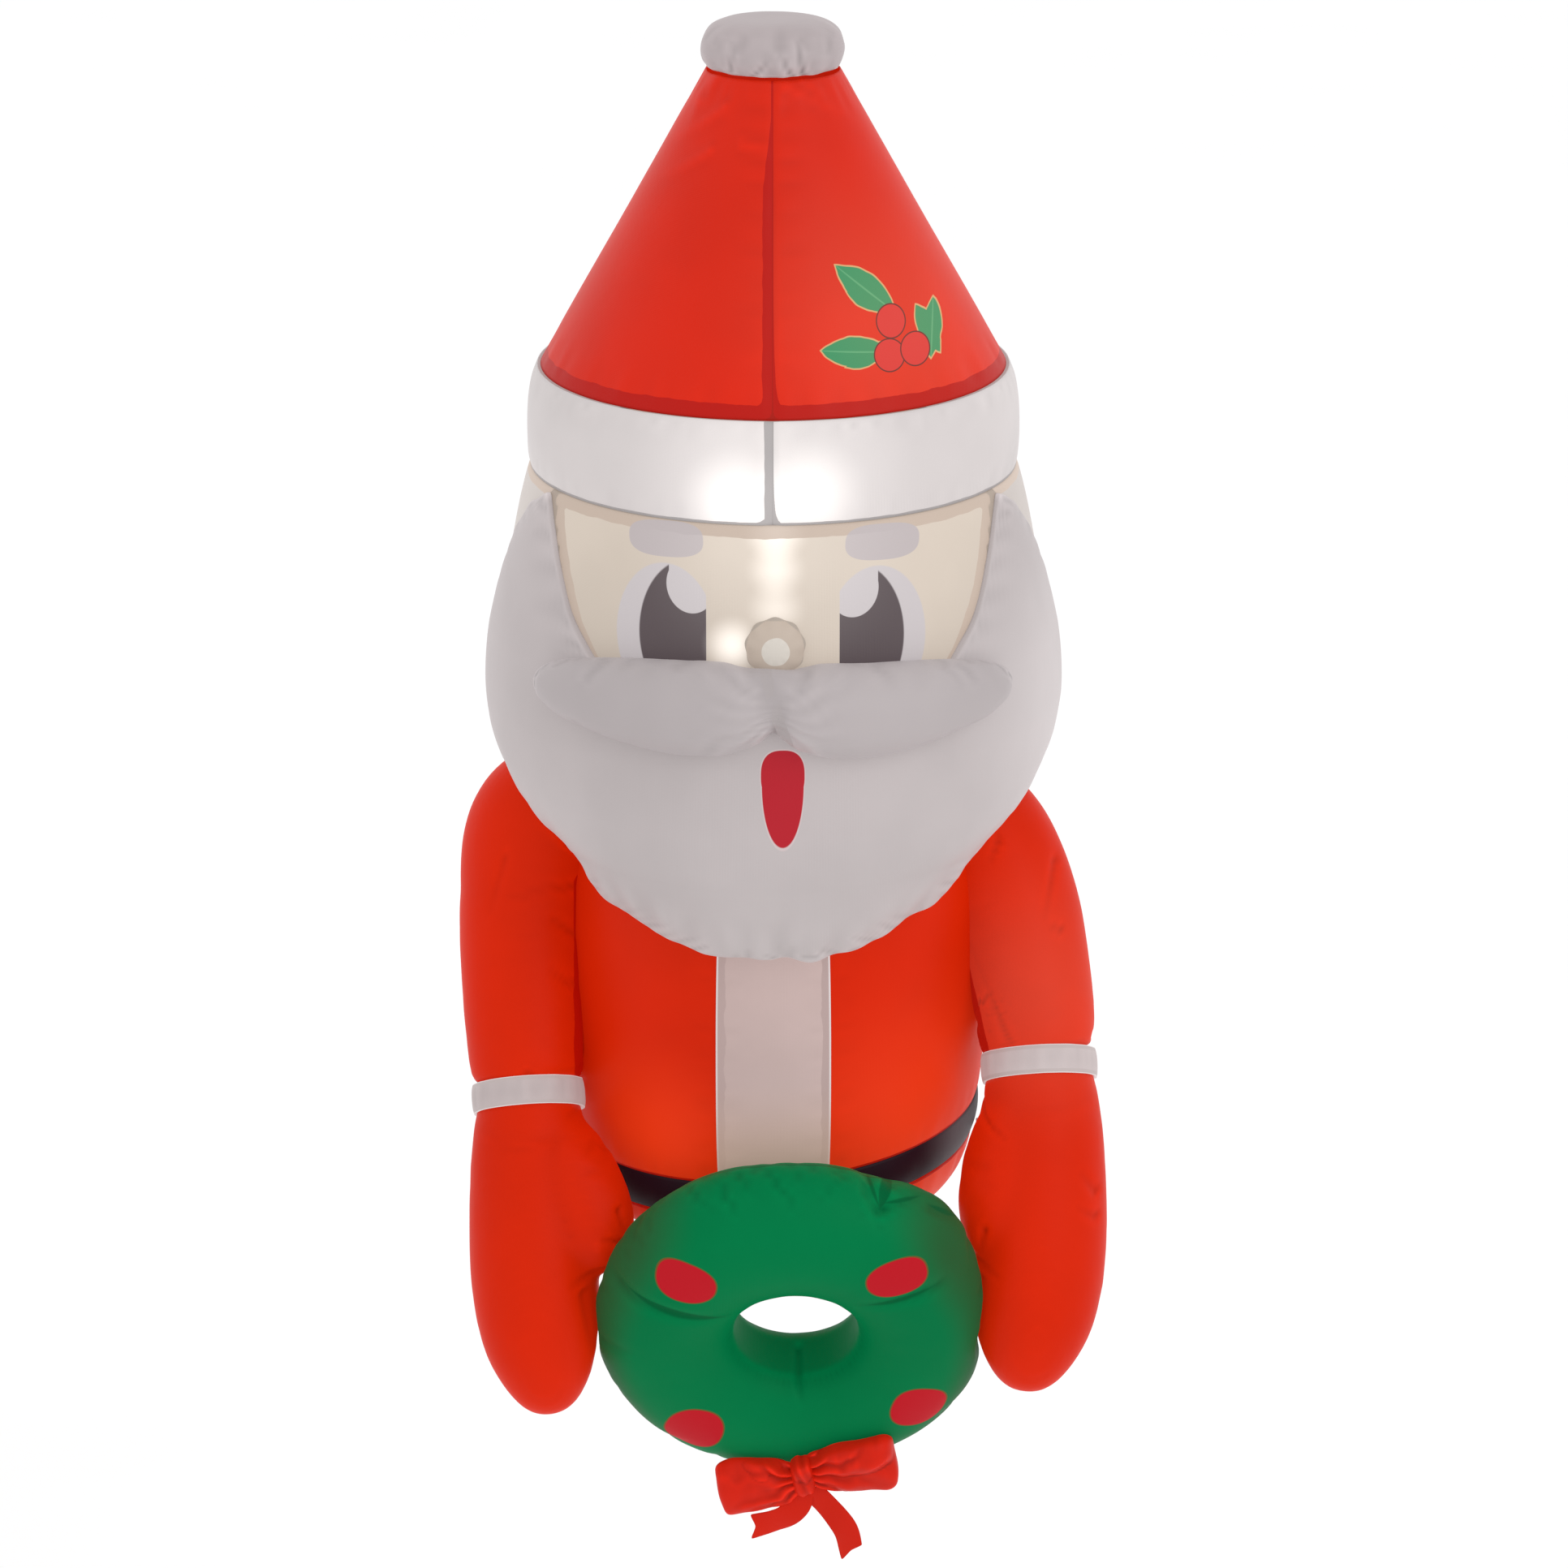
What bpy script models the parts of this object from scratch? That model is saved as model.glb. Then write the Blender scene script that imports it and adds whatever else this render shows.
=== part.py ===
"""Inflatable Santa that leans out of a window and holds a wreath.

Metres, +Z up, the figure faces -Y.  The origin is the centre of the flat underside
of the window neck, which rests on the sill.  Left and right are as seen from the front.
"""
import math

import bmesh
import bpy
from mathutils import Matrix, Vector

# Driving dimensions
GAP = 0.0003                 # kept between pieces that touch
AXIS_Y = -0.24               # upright axis of hat, head and coat
TURN_STEPS = 36              # sides of the large turned forms

POMPOM_TOP, POMPOM_BOTTOM = 0.8390, 0.8080
POMPOM_SEAM_R = 0.0447
POMPOM_PROFILE = ((POMPOM_SEAM_R, POMPOM_BOTTOM), (0.0468, 0.8150), (0.0475, 0.8230), (0.0458, 0.8310),
                  (0.0405, 0.8360), (0.0280, POMPOM_TOP))
HAT_BOTTOM, HAT_R = 0.6103, 0.1568
HAT_SWELL = 0.0006           # how far the cone bellies out halfway
HAT_ROWS = 6
BRIM_BOTTOM = 0.5428
BRIM_PROFILE = ((0.1652, BRIM_BOTTOM), (0.1665, 0.5608), (0.1665, 0.5848), (0.1640, 0.6028), (0.1600, HAT_BOTTOM))
HEAD_BOTTOM = 0.305
HEAD_PROFILE = ((0.125, 0.305), (0.151, 0.325), (0.173, 0.362), (0.1835, 0.410),
                (0.1825, 0.460), (0.1745, 0.505), (0.1650, 0.5428))
FACE_TOP_DEPTH = 0.0806      # depth of the face seam in front of the axis, at FACE_TOP
FACE_TOP = 0.547
FACE_SLOPE = 0.534           # depth gained for each metre down
FACE_BLOCK = 0.6             # side of the cutter that parts face and back

BELT_TOP, BELT_BOTTOM = 0.0675, 0.0405
BELT_PROFILE = ((0.1430, BELT_BOTTOM), (0.1455, 0.0495), (0.1465, 0.0575), (0.1455, BELT_TOP))
COAT_PROFILE = ((0.1455, BELT_TOP), (0.1485, 0.093), (0.1500, 0.130), (0.1490, 0.190),
                (0.1445, 0.245), (0.1350, 0.283), (0.1220, 0.305))
HEM_PROFILE = ((0.085, 0.000), (0.112, 0.003), (0.130, 0.0135), (0.1395, 0.0265), (0.1430, BELT_BOTTOM))
PLACKET_HALF_ANGLE = 15.2    # degrees either side of the front
PLACKET_THICK = 0.0016
PLACKET_CLEAR = 0.0006       # over the coat's flat sides
PLACKET_TOP = 0.2400

BEARD_REACH = 97.0           # degrees either side of the front
BEARD_COLUMNS, BEARD_ROWS = 30, 6
BEARD_RIPPLE = 0.0022
BEARD_CORE_R = 0.105
BEARD_CREST = ((0.24, 0.190), (0.30, 0.198), (0.34, 0.2005), (0.385, 0.2000), (0.432, 0.1945),
               (0.462, 0.1880), (0.50, 0.1800), (0.55, 0.1690))

MOUSTACHE_R = 0.192          # radius of its centre line about the axis
MOUSTACHE_HALF_ANGLE = 44.0
MOUSTACHE_WIDEN = 1.12       # sideways stretch of the arc
MOUSTACHE_BULGE = 0.012      # how much further out its middle lies
# Share of the half angle, height, radius
MOUSTACHE_SHAPE = ((-1.0, 0.4300, 0.012), (-0.94, 0.4300, 0.0225), (-0.72, 0.4310, 0.0275),
                   (-0.36, 0.4305, 0.0300), (0.0, 0.4380, 0.0190), (0.36, 0.4285, 0.0300),
                   (0.72, 0.4300, 0.0275), (0.94, 0.4300, 0.0225), (1.0, 0.4300, 0.012))

NOSE = (0.0, -0.4245, 0.4685)
NOSE_R, NOSE_DEPTH = 0.0205, 0.015

NECK_HALF_WIDTH, NECK_HEIGHT = 0.115, 0.140
NECK_FRONT, NECK_BACK = -0.16, 0.104
NECK_ROUND = 0.024
PANEL_THICK = 0.006
INTAKE_R, INTAKE_WALL, INTAKE_DEPTH = 0.048, 0.006, 0.012
INLET_R, INLET_DEPTH = 0.007, 0.011
INLET_X, INLET_Z = 0.082, 0.030

WREATH_CENTRE = (0.012, -0.398, -0.030)
WREATH_TILT = 20.0           # degrees, top forward
WREATH_STEPS = 32
WREATH_PROFILE = ((0.0430, 0.0170), (0.051, 0.032), (0.069, 0.0420), (0.091, 0.0420),
                  (0.114, 0.034), (0.130, 0.0185), (0.1360, 0.0))   # radius, half thickness

BOW_CENTRE = (0.0205, -0.402, -0.157)
BOW_TILT = 12.0              # degrees, right side up
# Name, near end and far end as distance and height, depth
BOW_PUFFS = (("bow_loop_left", (-0.0106, 0.022), (-0.0640, 0.040), 0.024),
             ("bow_loop_right", (0.0106, 0.022), (0.0690, 0.044), 0.024),
             ("bow_knot", (-0.0102, 0.030), (0.0102, 0.030), 0.026))
LEFT_TAIL = ((0.0155, -0.1745), (0.0135, -0.1815), (0.0055, -0.1840), (-0.0115, -0.1845), (-0.0200, -0.1980),
             (-0.0060, -0.2030), (0.0000, -0.1985), (0.0045, -0.1930), (0.0155, -0.1850), (0.0215, -0.1745))
RIGHT_TAIL = ((0.0245, -0.1745), (0.0300, -0.1835), (0.0470, -0.1960), (0.0490, -0.2065), (0.0580, -0.2195),
              (0.0585, -0.2065), (0.0440, -0.1815), (0.0345, -0.1735))
RIBBON_HALF_THICK = 0.0006

TETHER_SIZE = (0.016, 0.010, 0.0016)
TETHER_X, TETHER_Z = 0.1535, 0.046
TETHER_DROOP = 18.0          # degrees

# Points of an arm: x, y, z, radius.  The sleeve, the cuff and the mitt share the line.
LEFT_SLEEVE = ((-0.118, -0.235, 0.305, 0.044), (-0.163, -0.243, 0.277, 0.050),
               (-0.1735, -0.262, 0.225, 0.0475), (-0.1745, -0.290, 0.170, 0.0440),
               (-0.1717, -0.3205, 0.1135, 0.0390))
RIGHT_SLEEVE = ((0.112, -0.235, 0.300, 0.044), (0.146, -0.243, 0.266, 0.048),
                (0.166, -0.260, 0.226, 0.0475), (0.1775, -0.286, 0.182, 0.0440),
                (0.1846, -0.3133, 0.1338, 0.0402))
LEFT_MITT = ((-0.1702, -0.3325, 0.0928, 0.0380), (-0.1695, -0.352, 0.0560, 0.0435),
             (-0.1672, -0.377, 0.0080, 0.0470), (-0.1640, -0.396, -0.0380, 0.0455),
             (-0.1600, -0.407, -0.0690, 0.0380), (-0.1575, -0.413, -0.0880, 0.0240),
             (-0.1568, -0.416, -0.0935, 0.0120))
RIGHT_MITT = ((0.1856, -0.3258, 0.1130, 0.0392), (0.1860, -0.344, 0.0750, 0.0455),
              (0.1840, -0.371, 0.0230, 0.0490), (0.1810, -0.392, -0.0210, 0.0475),
              (0.1775, -0.403, -0.0510, 0.0400), (0.1750, -0.409, -0.0700, 0.0260),
              (0.1742, -0.412, -0.0765, 0.0130))
LEFT_THUMB = ((-0.150, -0.350, 0.080, 0.019), (-0.130, -0.374, 0.053, 0.0225),
              (-0.1155, -0.390, 0.031, 0.0200), (-0.111, -0.395, 0.021, 0.0110))
RIGHT_THUMB = ((0.165, -0.343, 0.100, 0.019), (0.150, -0.366, 0.074, 0.0225),
               (0.1445, -0.383, 0.050, 0.0205), (0.144, -0.389, 0.039, 0.0110))
CUFF_OVER = 0.0012           # how far a cuff stands out from the sleeve

RED = (0.70, 0.035, 0.012)
WHITE = (0.62, 0.58, 0.58)
BEIGE = (0.66, 0.55, 0.47)
GREEN = (0.0, 0.19, 0.07)
BLACK = (0.045, 0.022, 0.026)
BOW_RED = (0.58, 0.022, 0.012)


def clear_scene():
    for obj in list(bpy.data.objects):
        bpy.data.objects.remove(obj, do_unlink=True)


def new_collection(name):
    made = bpy.data.collections.new(name)
    bpy.context.scene.collection.children.link(made)
    return made


def new_material(name, colour, roughness, metallic=0.0):
    mat = bpy.data.materials.new(name)
    mat.use_nodes = True
    shader = mat.node_tree.nodes["Principled BSDF"]
    shader.inputs["Base Color"].default_value = (*colour, 1.0)
    shader.inputs["Roughness"].default_value = roughness
    shader.inputs["Metallic"].default_value = metallic
    mat.diffuse_color = (*colour, 1.0)
    return mat


def add_object(name, mesh, collection, mat=None):
    obj = bpy.data.objects.new(name, mesh)
    collection.objects.link(obj)
    if mat is not None:
        mesh.materials.append(mat)
    if collection is CUTTERS:
        obj.hide_render = True
        obj.display_type = "WIRE"
    return obj


def mesh_of(bm, name):
    bmesh.ops.recalc_face_normals(bm, faces=bm.faces)
    mesh = bpy.data.meshes.new(name)
    bm.to_mesh(mesh)
    bm.free()
    return mesh


def turned(name, profile, collection, mat=None, steps=TURN_STEPS, grow=0.0):
    """Solid of revolution about the upright axis, from (radius, height) points, bottom first."""
    low, high = profile[0][1] - grow, profile[-1][1] + grow
    points = [(0.0, low)]
    for index, (radius, height) in enumerate(profile):
        ends = {0: low, len(profile) - 1: high}
        points.append((radius + grow, ends.get(index, height)))
    points.append((0.0, high))
    bm = bmesh.new()
    verts = [bm.verts.new((radius, 0.0, height)) for radius, height in points]
    for first, second in zip(verts, verts[1:]):
        bm.edges.new((first, second))
    mesh = bpy.data.meshes.new(name)
    bm.to_mesh(mesh)
    bm.free()
    obj = add_object(name, mesh, collection, mat)
    obj.location = (0.0, AXIS_Y, 0.0)
    screw = obj.modifiers.new("turn", "SCREW")
    screw.steps = steps
    screw.render_steps = steps
    screw.use_merge_vertices = True
    screw.merge_threshold = 0.00001
    screw.use_normal_flip = True
    return obj


def swept(name, points, collection, mat=None, sides=5, cuts=3, grow=0.0):
    """Tube through points that each hold their radius, as a mesh."""
    curve = bpy.data.curves.new(name, "CURVE")
    curve.dimensions = "3D"
    curve.bevel_depth = 1.0
    curve.bevel_resolution = sides - 2
    curve.resolution_u = cuts
    curve.use_fill_caps = True
    spline = curve.splines.new("BEZIER")
    spline.radius_interpolation = "CARDINAL"
    spline.bezier_points.add(len(points) - 1)
    for knot, (x, y, z, radius) in zip(spline.bezier_points, points):
        knot.co = (x, y, z)
        knot.radius = radius + grow
        knot.handle_left_type = "AUTO"
        knot.handle_right_type = "AUTO"
    wire = bpy.data.objects.new(name + "_wire", curve)
    collection.objects.link(wire)
    bpy.context.view_layer.update()
    shape = wire.evaluated_get(bpy.context.evaluated_depsgraph_get())
    mesh = bpy.data.meshes.new_from_object(shape)
    bpy.data.objects.remove(wire, do_unlink=True)
    bm = bmesh.new()
    bm.from_mesh(mesh)
    bmesh.ops.remove_doubles(bm, verts=bm.verts, dist=0.00001)
    mesh.materials.clear()
    return add_object(name, mesh_of(bm, name), collection, mat)


def ellipsoid(name, centre, radii, collection, mat=None, turns=14, grow=0.0):
    bm = bmesh.new()
    bmesh.ops.create_uvsphere(bm, u_segments=turns, v_segments=turns // 2 + 2, radius=1.0)
    obj = add_object(name, mesh_of(bm, name), collection, mat)
    obj.location = centre
    obj.scale = [radius + grow for radius in radii]
    return obj


def box(name, size, centre, collection, mat=None):
    bm = bmesh.new()
    bmesh.ops.create_cube(bm, size=1.0)
    bmesh.ops.scale(bm, vec=size, verts=bm.verts)
    obj = add_object(name, mesh_of(bm, name), collection, mat)
    obj.location = centre
    return obj


def combine(obj, other, operation="DIFFERENCE"):
    boolean = obj.modifiers.new(operation.lower(), "BOOLEAN")
    boolean.operation = operation
    boolean.solver = "EXACT"
    boolean.object = other
    return boolean


def profile_radius(profile, height):
    """Radius of a profile at a height, by straight runs between its points."""
    for (r0, z0), (r1, z1) in zip(profile, profile[1:]):
        if z0 <= height <= z1:
            return r0 + (r1 - r0) * (height - z0) / (z1 - z0)
    return profile[0][0] if height < profile[0][1] else profile[-1][0]


def make_hat():
    turned("hat_pompom", POMPOM_PROFILE, PIECES, MATS["white"], steps=28)
    height = POMPOM_BOTTOM - HAT_BOTTOM
    cone = []
    for step in range(HAT_ROWS + 1):
        share = step / HAT_ROWS
        belly = HAT_SWELL * math.sin(math.pi * share)
        radius = HAT_R + (POMPOM_SEAM_R - HAT_R) * share + belly
        cone.append((radius, HAT_BOTTOM + GAP + (height - 2 * GAP) * share))
    turned("hat_cone", cone, PIECES, MATS["red"])
    turned("hat_brim", BRIM_PROFILE, PIECES, MATS["white"])


def make_head():
    """The head is parted by a leaning plane into the face panel and the back."""
    profile = [(radius, height) for radius, height in HEAD_PROFILE]
    profile[0] = (profile[0][0], HEAD_BOTTOM + GAP)
    profile[-1] = (profile[-1][0], BRIM_BOTTOM - GAP)
    face = turned("face", profile, PIECES, MATS["beige"])
    back = turned("head_back", profile, PIECES, MATS["white"])
    lean = math.atan(FACE_SLOPE)
    for obj, operation, shift in ((face, "INTERSECT", GAP), (back, "DIFFERENCE", 0.0)):
        block = box("face_block_" + operation.lower(), (FACE_BLOCK, FACE_BLOCK, FACE_BLOCK), (0, 0, 0), CUTTERS)
        seam = Vector((0.0, AXIS_Y - FACE_TOP_DEPTH, FACE_TOP))
        turn = Matrix.Rotation(-lean, 4, "X")
        block.matrix_world = Matrix.Translation(seam) @ turn @ Matrix.Translation((0, -FACE_BLOCK / 2 - shift, 0))
        combine(obj, block, operation)


def body_cutter():
    """Head and coat together, grown by the gap, to fit other pieces against."""
    profile = HEM_PROFILE[:-1] + BELT_PROFILE[:-1] + COAT_PROFILE[:-1] + HEAD_PROFILE
    return turned("body_cutter", profile, CUTTERS, grow=GAP)


def make_coat(body):
    turned("coat", ((COAT_PROFILE[0][0], BELT_TOP + GAP),) + COAT_PROFILE[1:], PIECES, MATS["red"])
    turned("belt", BELT_PROFILE, PIECES, MATS["black"])
    turned("coat_hem", HEM_PROFILE[:-1] + ((HEM_PROFILE[-1][0], BELT_BOTTOM - GAP),), PIECES, MATS["red"])
    make_neck(body)


def make_placket():
    """A thin strip that follows the coat's front, from a grid bent round it."""
    rows = [(radius, height) for radius, height in COAT_PROFILE if height < PLACKET_TOP]
    rows[0] = (rows[0][0], BELT_TOP + 2 * GAP)
    rows.append((profile_radius(COAT_PROFILE, PLACKET_TOP), PLACKET_TOP))
    last = len(rows) - 1
    bm = bmesh.new()
    bmesh.ops.create_grid(bm, x_segments=5, y_segments=last, size=1.0)
    for vert in bm.verts:
        radius, height = rows[round((vert.co.y + 1) / 2 * last)]
        turn = math.radians(PLACKET_HALF_ANGLE * vert.co.x)
        reach = radius + PLACKET_CLEAR
        vert.co = (reach * math.sin(turn), AXIS_Y - reach * math.cos(turn), height)
    strip = add_object("coat_placket", mesh_of(bm, "coat_placket"), PIECES, MATS["white"])
    shell = strip.modifiers.new("thickness", "SOLIDIFY")
    shell.thickness = PLACKET_THICK
    shell.offset = 1.0
    return strip


def make_neck(body):
    """The flattened tube that passes through the window, with its rear panel."""
    length = NECK_BACK - NECK_FRONT
    neck = box("window_neck", (2 * NECK_HALF_WIDTH, length, NECK_HEIGHT),
               (0.0, (NECK_BACK + NECK_FRONT) / 2, NECK_HEIGHT / 2), PIECES, MATS["red"])
    round_long_edges(neck.data, NECK_ROUND)
    combine(neck, body)
    panel = box("rear_panel", (2 * NECK_HALF_WIDTH, PANEL_THICK, NECK_HEIGHT),
                (0.0, NECK_BACK + GAP + PANEL_THICK / 2, NECK_HEIGHT / 2), PIECES, MATS["red"])
    round_long_edges(panel.data, NECK_ROUND)
    outer_face = NECK_BACK + GAP + PANEL_THICK
    make_intake(outer_face + GAP)
    inlet = turned_across("power_inlet", ((0.0, 0.0), (INLET_R, 0.0), (INLET_R, INLET_DEPTH - 0.003),
                                          (INLET_R * 0.7, INLET_DEPTH), (0.0, INLET_DEPTH)), MATS["dark"], 12)
    inlet.location = (INLET_X, outer_face + GAP, INLET_Z)


def round_long_edges(mesh, radius):
    bm = bmesh.new()
    bm.from_mesh(mesh)
    along = [edge for edge in bm.edges
             if abs(edge.verts[0].co.y - edge.verts[1].co.y) > 0.5 * abs(edge.calc_length())]
    bmesh.ops.bevel(bm, geom=along, offset=radius, segments=4, profile=0.5, affect="EDGES")
    bm.to_mesh(mesh)
    bm.free()


def turned_across(name, profile, mat, steps):
    """Solid of revolution about +Y, from (radius, distance) points; closes on the axis."""
    bm = bmesh.new()
    verts = [bm.verts.new((radius, distance, 0.0)) for radius, distance in profile]
    closed = profile[0][0] > 0.0
    pairs = list(zip(verts, verts[1:]))
    if closed:
        pairs.append((verts[-1], verts[0]))
    for first, second in pairs:
        bm.edges.new((first, second))
    mesh = bpy.data.meshes.new(name)
    bm.to_mesh(mesh)
    bm.free()
    obj = add_object(name, mesh, PIECES, mat)
    screw = obj.modifiers.new("turn", "SCREW")
    screw.axis = "Y"
    screw.steps = steps
    screw.render_steps = steps
    screw.use_merge_vertices = True
    screw.merge_threshold = 0.00001
    screw.use_normal_flip = True
    return obj


def make_intake(back):
    """A collar with a spoked guard over the air intake."""
    inner = INTAKE_R - INTAKE_WALL
    collar = turned_across("blower_intake", ((inner, 0.0), (INTAKE_R, 0.0), (INTAKE_R, INTAKE_DEPTH - 0.002),
                                             (INTAKE_R - 0.002, INTAKE_DEPTH), (inner, INTAKE_DEPTH)),
                           MATS["dark"], 28)
    collar.location = (0.0, back, NECK_HEIGHT / 2)
    guard = turned_across("intake_guard", ((0.0, 0.0), (inner - GAP, 0.0), (inner - GAP, 0.003), (0.0, 0.003)),
                          MATS["dark"], 28)
    guard.location = (0.0, back, NECK_HEIGHT / 2)
    hub = turned_across("intake_hub", ((0.0, 0.0), (0.014, 0.0), (0.012, 0.003), (0.0, 0.003)),
                        MATS["dark"], 16)
    hub.location = (0.0, back + 0.003 + GAP, NECK_HEIGHT / 2)


def beard_low(angle):
    """Height of the beard's gathered lower edge at an angle from the front, in degrees."""
    stations = ((0, 0.2435), (20, 0.2510), (38, 0.2690), (61, 0.300), (78, 0.338), (97, 0.390))
    low = interpolate(stations, abs(angle))
    return low + BEARD_RIPPLE * math.cos(math.radians(angle * 14))


def beard_high(angle):
    """Height of the beard's upper edge: below the moustache, then up along the face."""
    stations = ((0, 0.425), (25, 0.425), (35, 0.430), (47, 0.470), (56, 0.515), (62, 0.541),
                (70, 0.528), (80, 0.497), (90, 0.462), (97, 0.425))
    return interpolate(stations, abs(angle))


def interpolate(stations, place):
    for (a, va), (b, vb) in zip(stations, stations[1:]):
        if a <= place <= b:
            share = (place - a) / (b - a)
            return va + (vb - va) * share
    return stations[-1][1]


def beard_radius(angle, height, share):
    """Outer radius: the head or coat below, a thin edge and a pillow swell between the edges."""
    body = profile_radius(COAT_PROFILE + HEAD_PROFILE[1:], height)
    front = max(0.0, math.cos(math.radians(angle)))
    crest = interpolate(BEARD_CREST, height) + 0.008 * front
    fullness = math.sin(math.pi * min(1.0, 0.06 + 0.90 * share)) ** 0.45
    edge = body + 0.004
    low_edge = edge + 0.020 * front
    base = low_edge + (edge - low_edge) * min(1.0, share * 1.5)
    return base + max(0.0, crest - base) * fullness


def make_beard(body, moustache, sleeves):
    """A grid bent round the head and swollen, closed inwards, then fitted to what it lies on."""
    bm = bmesh.new()
    bmesh.ops.create_grid(bm, x_segments=BEARD_COLUMNS, y_segments=BEARD_ROWS, size=1.0)
    for vert in bm.verts:
        angle = vert.co.x * BEARD_REACH
        share = (vert.co.y + 1) / 2
        height = beard_low(angle) + (beard_high(angle) - beard_low(angle)) * share
        radius = beard_radius(angle, height, share)
        turn = math.radians(angle)
        vert.co = (radius * math.sin(turn), AXIS_Y - radius * math.cos(turn), height)
    core = bmesh.ops.extrude_face_region(bm, geom=bm.faces[:])
    for vert in core["geom"]:
        if isinstance(vert, bmesh.types.BMVert):
            flat = Vector((vert.co.x, vert.co.y - AXIS_Y))
            flat *= BEARD_CORE_R / flat.length
            vert.co = (flat.x, AXIS_Y + flat.y, vert.co.z)
    beard = add_object("beard", mesh_of(bm, "beard"), PIECES, MATS["white"])
    for cutter in [body, moustache] + sleeves:
        combine(beard, cutter)


def moustache_points():
    """Two lobes pinched together in the middle, along an arc round the head."""
    points = []
    for share, height, radius in MOUSTACHE_SHAPE:
        turn = math.radians(share * MOUSTACHE_HALF_ANGLE)
        reach = MOUSTACHE_R + MOUSTACHE_BULGE * (1 - abs(share))
        points.append((reach * math.sin(turn) * MOUSTACHE_WIDEN, AXIS_Y - reach * math.cos(turn), height, radius))
    return points


def make_face_parts(body):
    moustache = swept("moustache", moustache_points(), PIECES, MATS["white"], sides=6, cuts=2)
    combine(moustache, body)
    fitted = swept("moustache_cutter", moustache_points(), CUTTERS, sides=6, cuts=2, grow=GAP)
    nose = ellipsoid("nose", NOSE, (NOSE_R, NOSE_DEPTH, NOSE_R), PIECES, MATS["beige"])
    combine(nose, body)
    combine(nose, fitted)
    return fitted


def make_arm(side, sleeve_points, mitt_points, thumb, body):
    """A sleeve, its cuff and a mitt on one line; returns the cutters that neighbours need."""
    sleeve = swept("sleeve_" + side, sleeve_points, PIECES, MATS["red"])
    combine(sleeve, body)
    end = Vector(sleeve_points[-1][:3])
    start = Vector(mitt_points[0][:3])
    along = (start - end).normalized()
    first = end + along * 2 * GAP
    last = start - along * 2 * GAP
    radius = sleeve_points[-1][3] + CUFF_OVER
    cuff_points = [(*(first + (last - first) * share), radius) for share in (0.0, 0.5, 1.0)]
    cuff = swept("cuff_" + side, cuff_points, PIECES, MATS["white"], cuts=2)
    mitt = swept("mitt_" + side, mitt_points, PIECES, MATS["red"])
    thumb_form = swept("thumb_" + side, thumb, CUTTERS, cuts=2)
    combine(mitt, thumb_form, "UNION")
    combine(mitt, body)
    sleeve_cutter = swept("sleeve_cutter_" + side, sleeve_points, CUTTERS, grow=GAP)
    mitt_cutter = swept("mitt_cutter_" + side, mitt_points, CUTTERS, grow=GAP)
    thumb_cutter = swept("thumb_cutter_" + side, thumb, CUTTERS, cuts=2, grow=GAP)
    for cutter in (body, sleeve_cutter, mitt_cutter):
        combine(cuff, cutter)
    return sleeve_cutter, [mitt_cutter, thumb_cutter]


def ring_pillow(name, collection, mat=None, grow=0.0):
    """A ring pillow with an open hole, turned about its own axis and tilted."""
    middle = (WREATH_PROFILE[0][0] + WREATH_PROFILE[-1][0]) / 2
    upper = [(radius + math.copysign(grow, radius - middle), half + (grow if half else 0.0))
             for radius, half in WREATH_PROFILE]
    outline = upper + [(radius, -half) for radius, half in reversed(upper[:-1])]
    bm = bmesh.new()
    verts = [bm.verts.new((radius, 0.0, half)) for radius, half in outline]
    for first, second in zip(verts, verts[1:] + verts[:1]):
        bm.edges.new((first, second))
    mesh = bpy.data.meshes.new(name)
    bm.to_mesh(mesh)
    bm.free()
    ring = add_object(name, mesh, collection, mat)
    screw = ring.modifiers.new("turn", "SCREW")
    screw.steps = WREATH_STEPS
    screw.render_steps = WREATH_STEPS
    screw.use_merge_vertices = True
    screw.merge_threshold = 0.00001
    lean = Matrix.Rotation(math.radians(90 + WREATH_TILT), 4, "X")
    ring.matrix_world = Matrix.Translation(WREATH_CENTRE) @ lean
    return ring


def make_wreath(body, mitts):
    wreath = ring_pillow("wreath", PIECES, MATS["green"])
    for cutter in [body] + mitts:
        combine(wreath, cutter)
    return ring_pillow("wreath_cutter", CUTTERS, grow=GAP)


def puffed(name, near, far, depth, mat, place):
    """A pillow that widens from its near end to its far end, from a subdivided cage."""
    bm = bmesh.new()
    bmesh.ops.create_cube(bm, size=1.0)
    bmesh.ops.subdivide_edges(bm, edges=bm.edges[:], cuts=1, use_grid_fill=True)
    length = far[0] - near[0]
    for vert in bm.verts:
        share = vert.co.x + 0.5
        tall = near[1] + (far[1] - near[1]) * share
        deep = depth * (0.55 + 0.45 * math.sin(math.pi * share))
        vert.co = (near[0] + length * share, vert.co.y * deep, vert.co.z * tall)
    obj = add_object(name, mesh_of(bm, name), PIECES, mat)
    smooth = obj.modifiers.new("smooth", "SUBSURF")
    smooth.levels = 1
    smooth.render_levels = 1
    obj.matrix_world = place
    return obj


def make_bow(wreath):
    place = Matrix.Translation(BOW_CENTRE) @ Matrix.Rotation(-math.radians(BOW_TILT), 4, "Y")
    for name, near, far, depth in BOW_PUFFS:
        combine(puffed(name, near, far, depth, MATS["bow"], place), wreath)
    ribbon("bow_tail_left", LEFT_TAIL, BOW_CENTRE[1])
    ribbon("bow_tail_right", RIGHT_TAIL, BOW_CENTRE[1])


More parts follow.
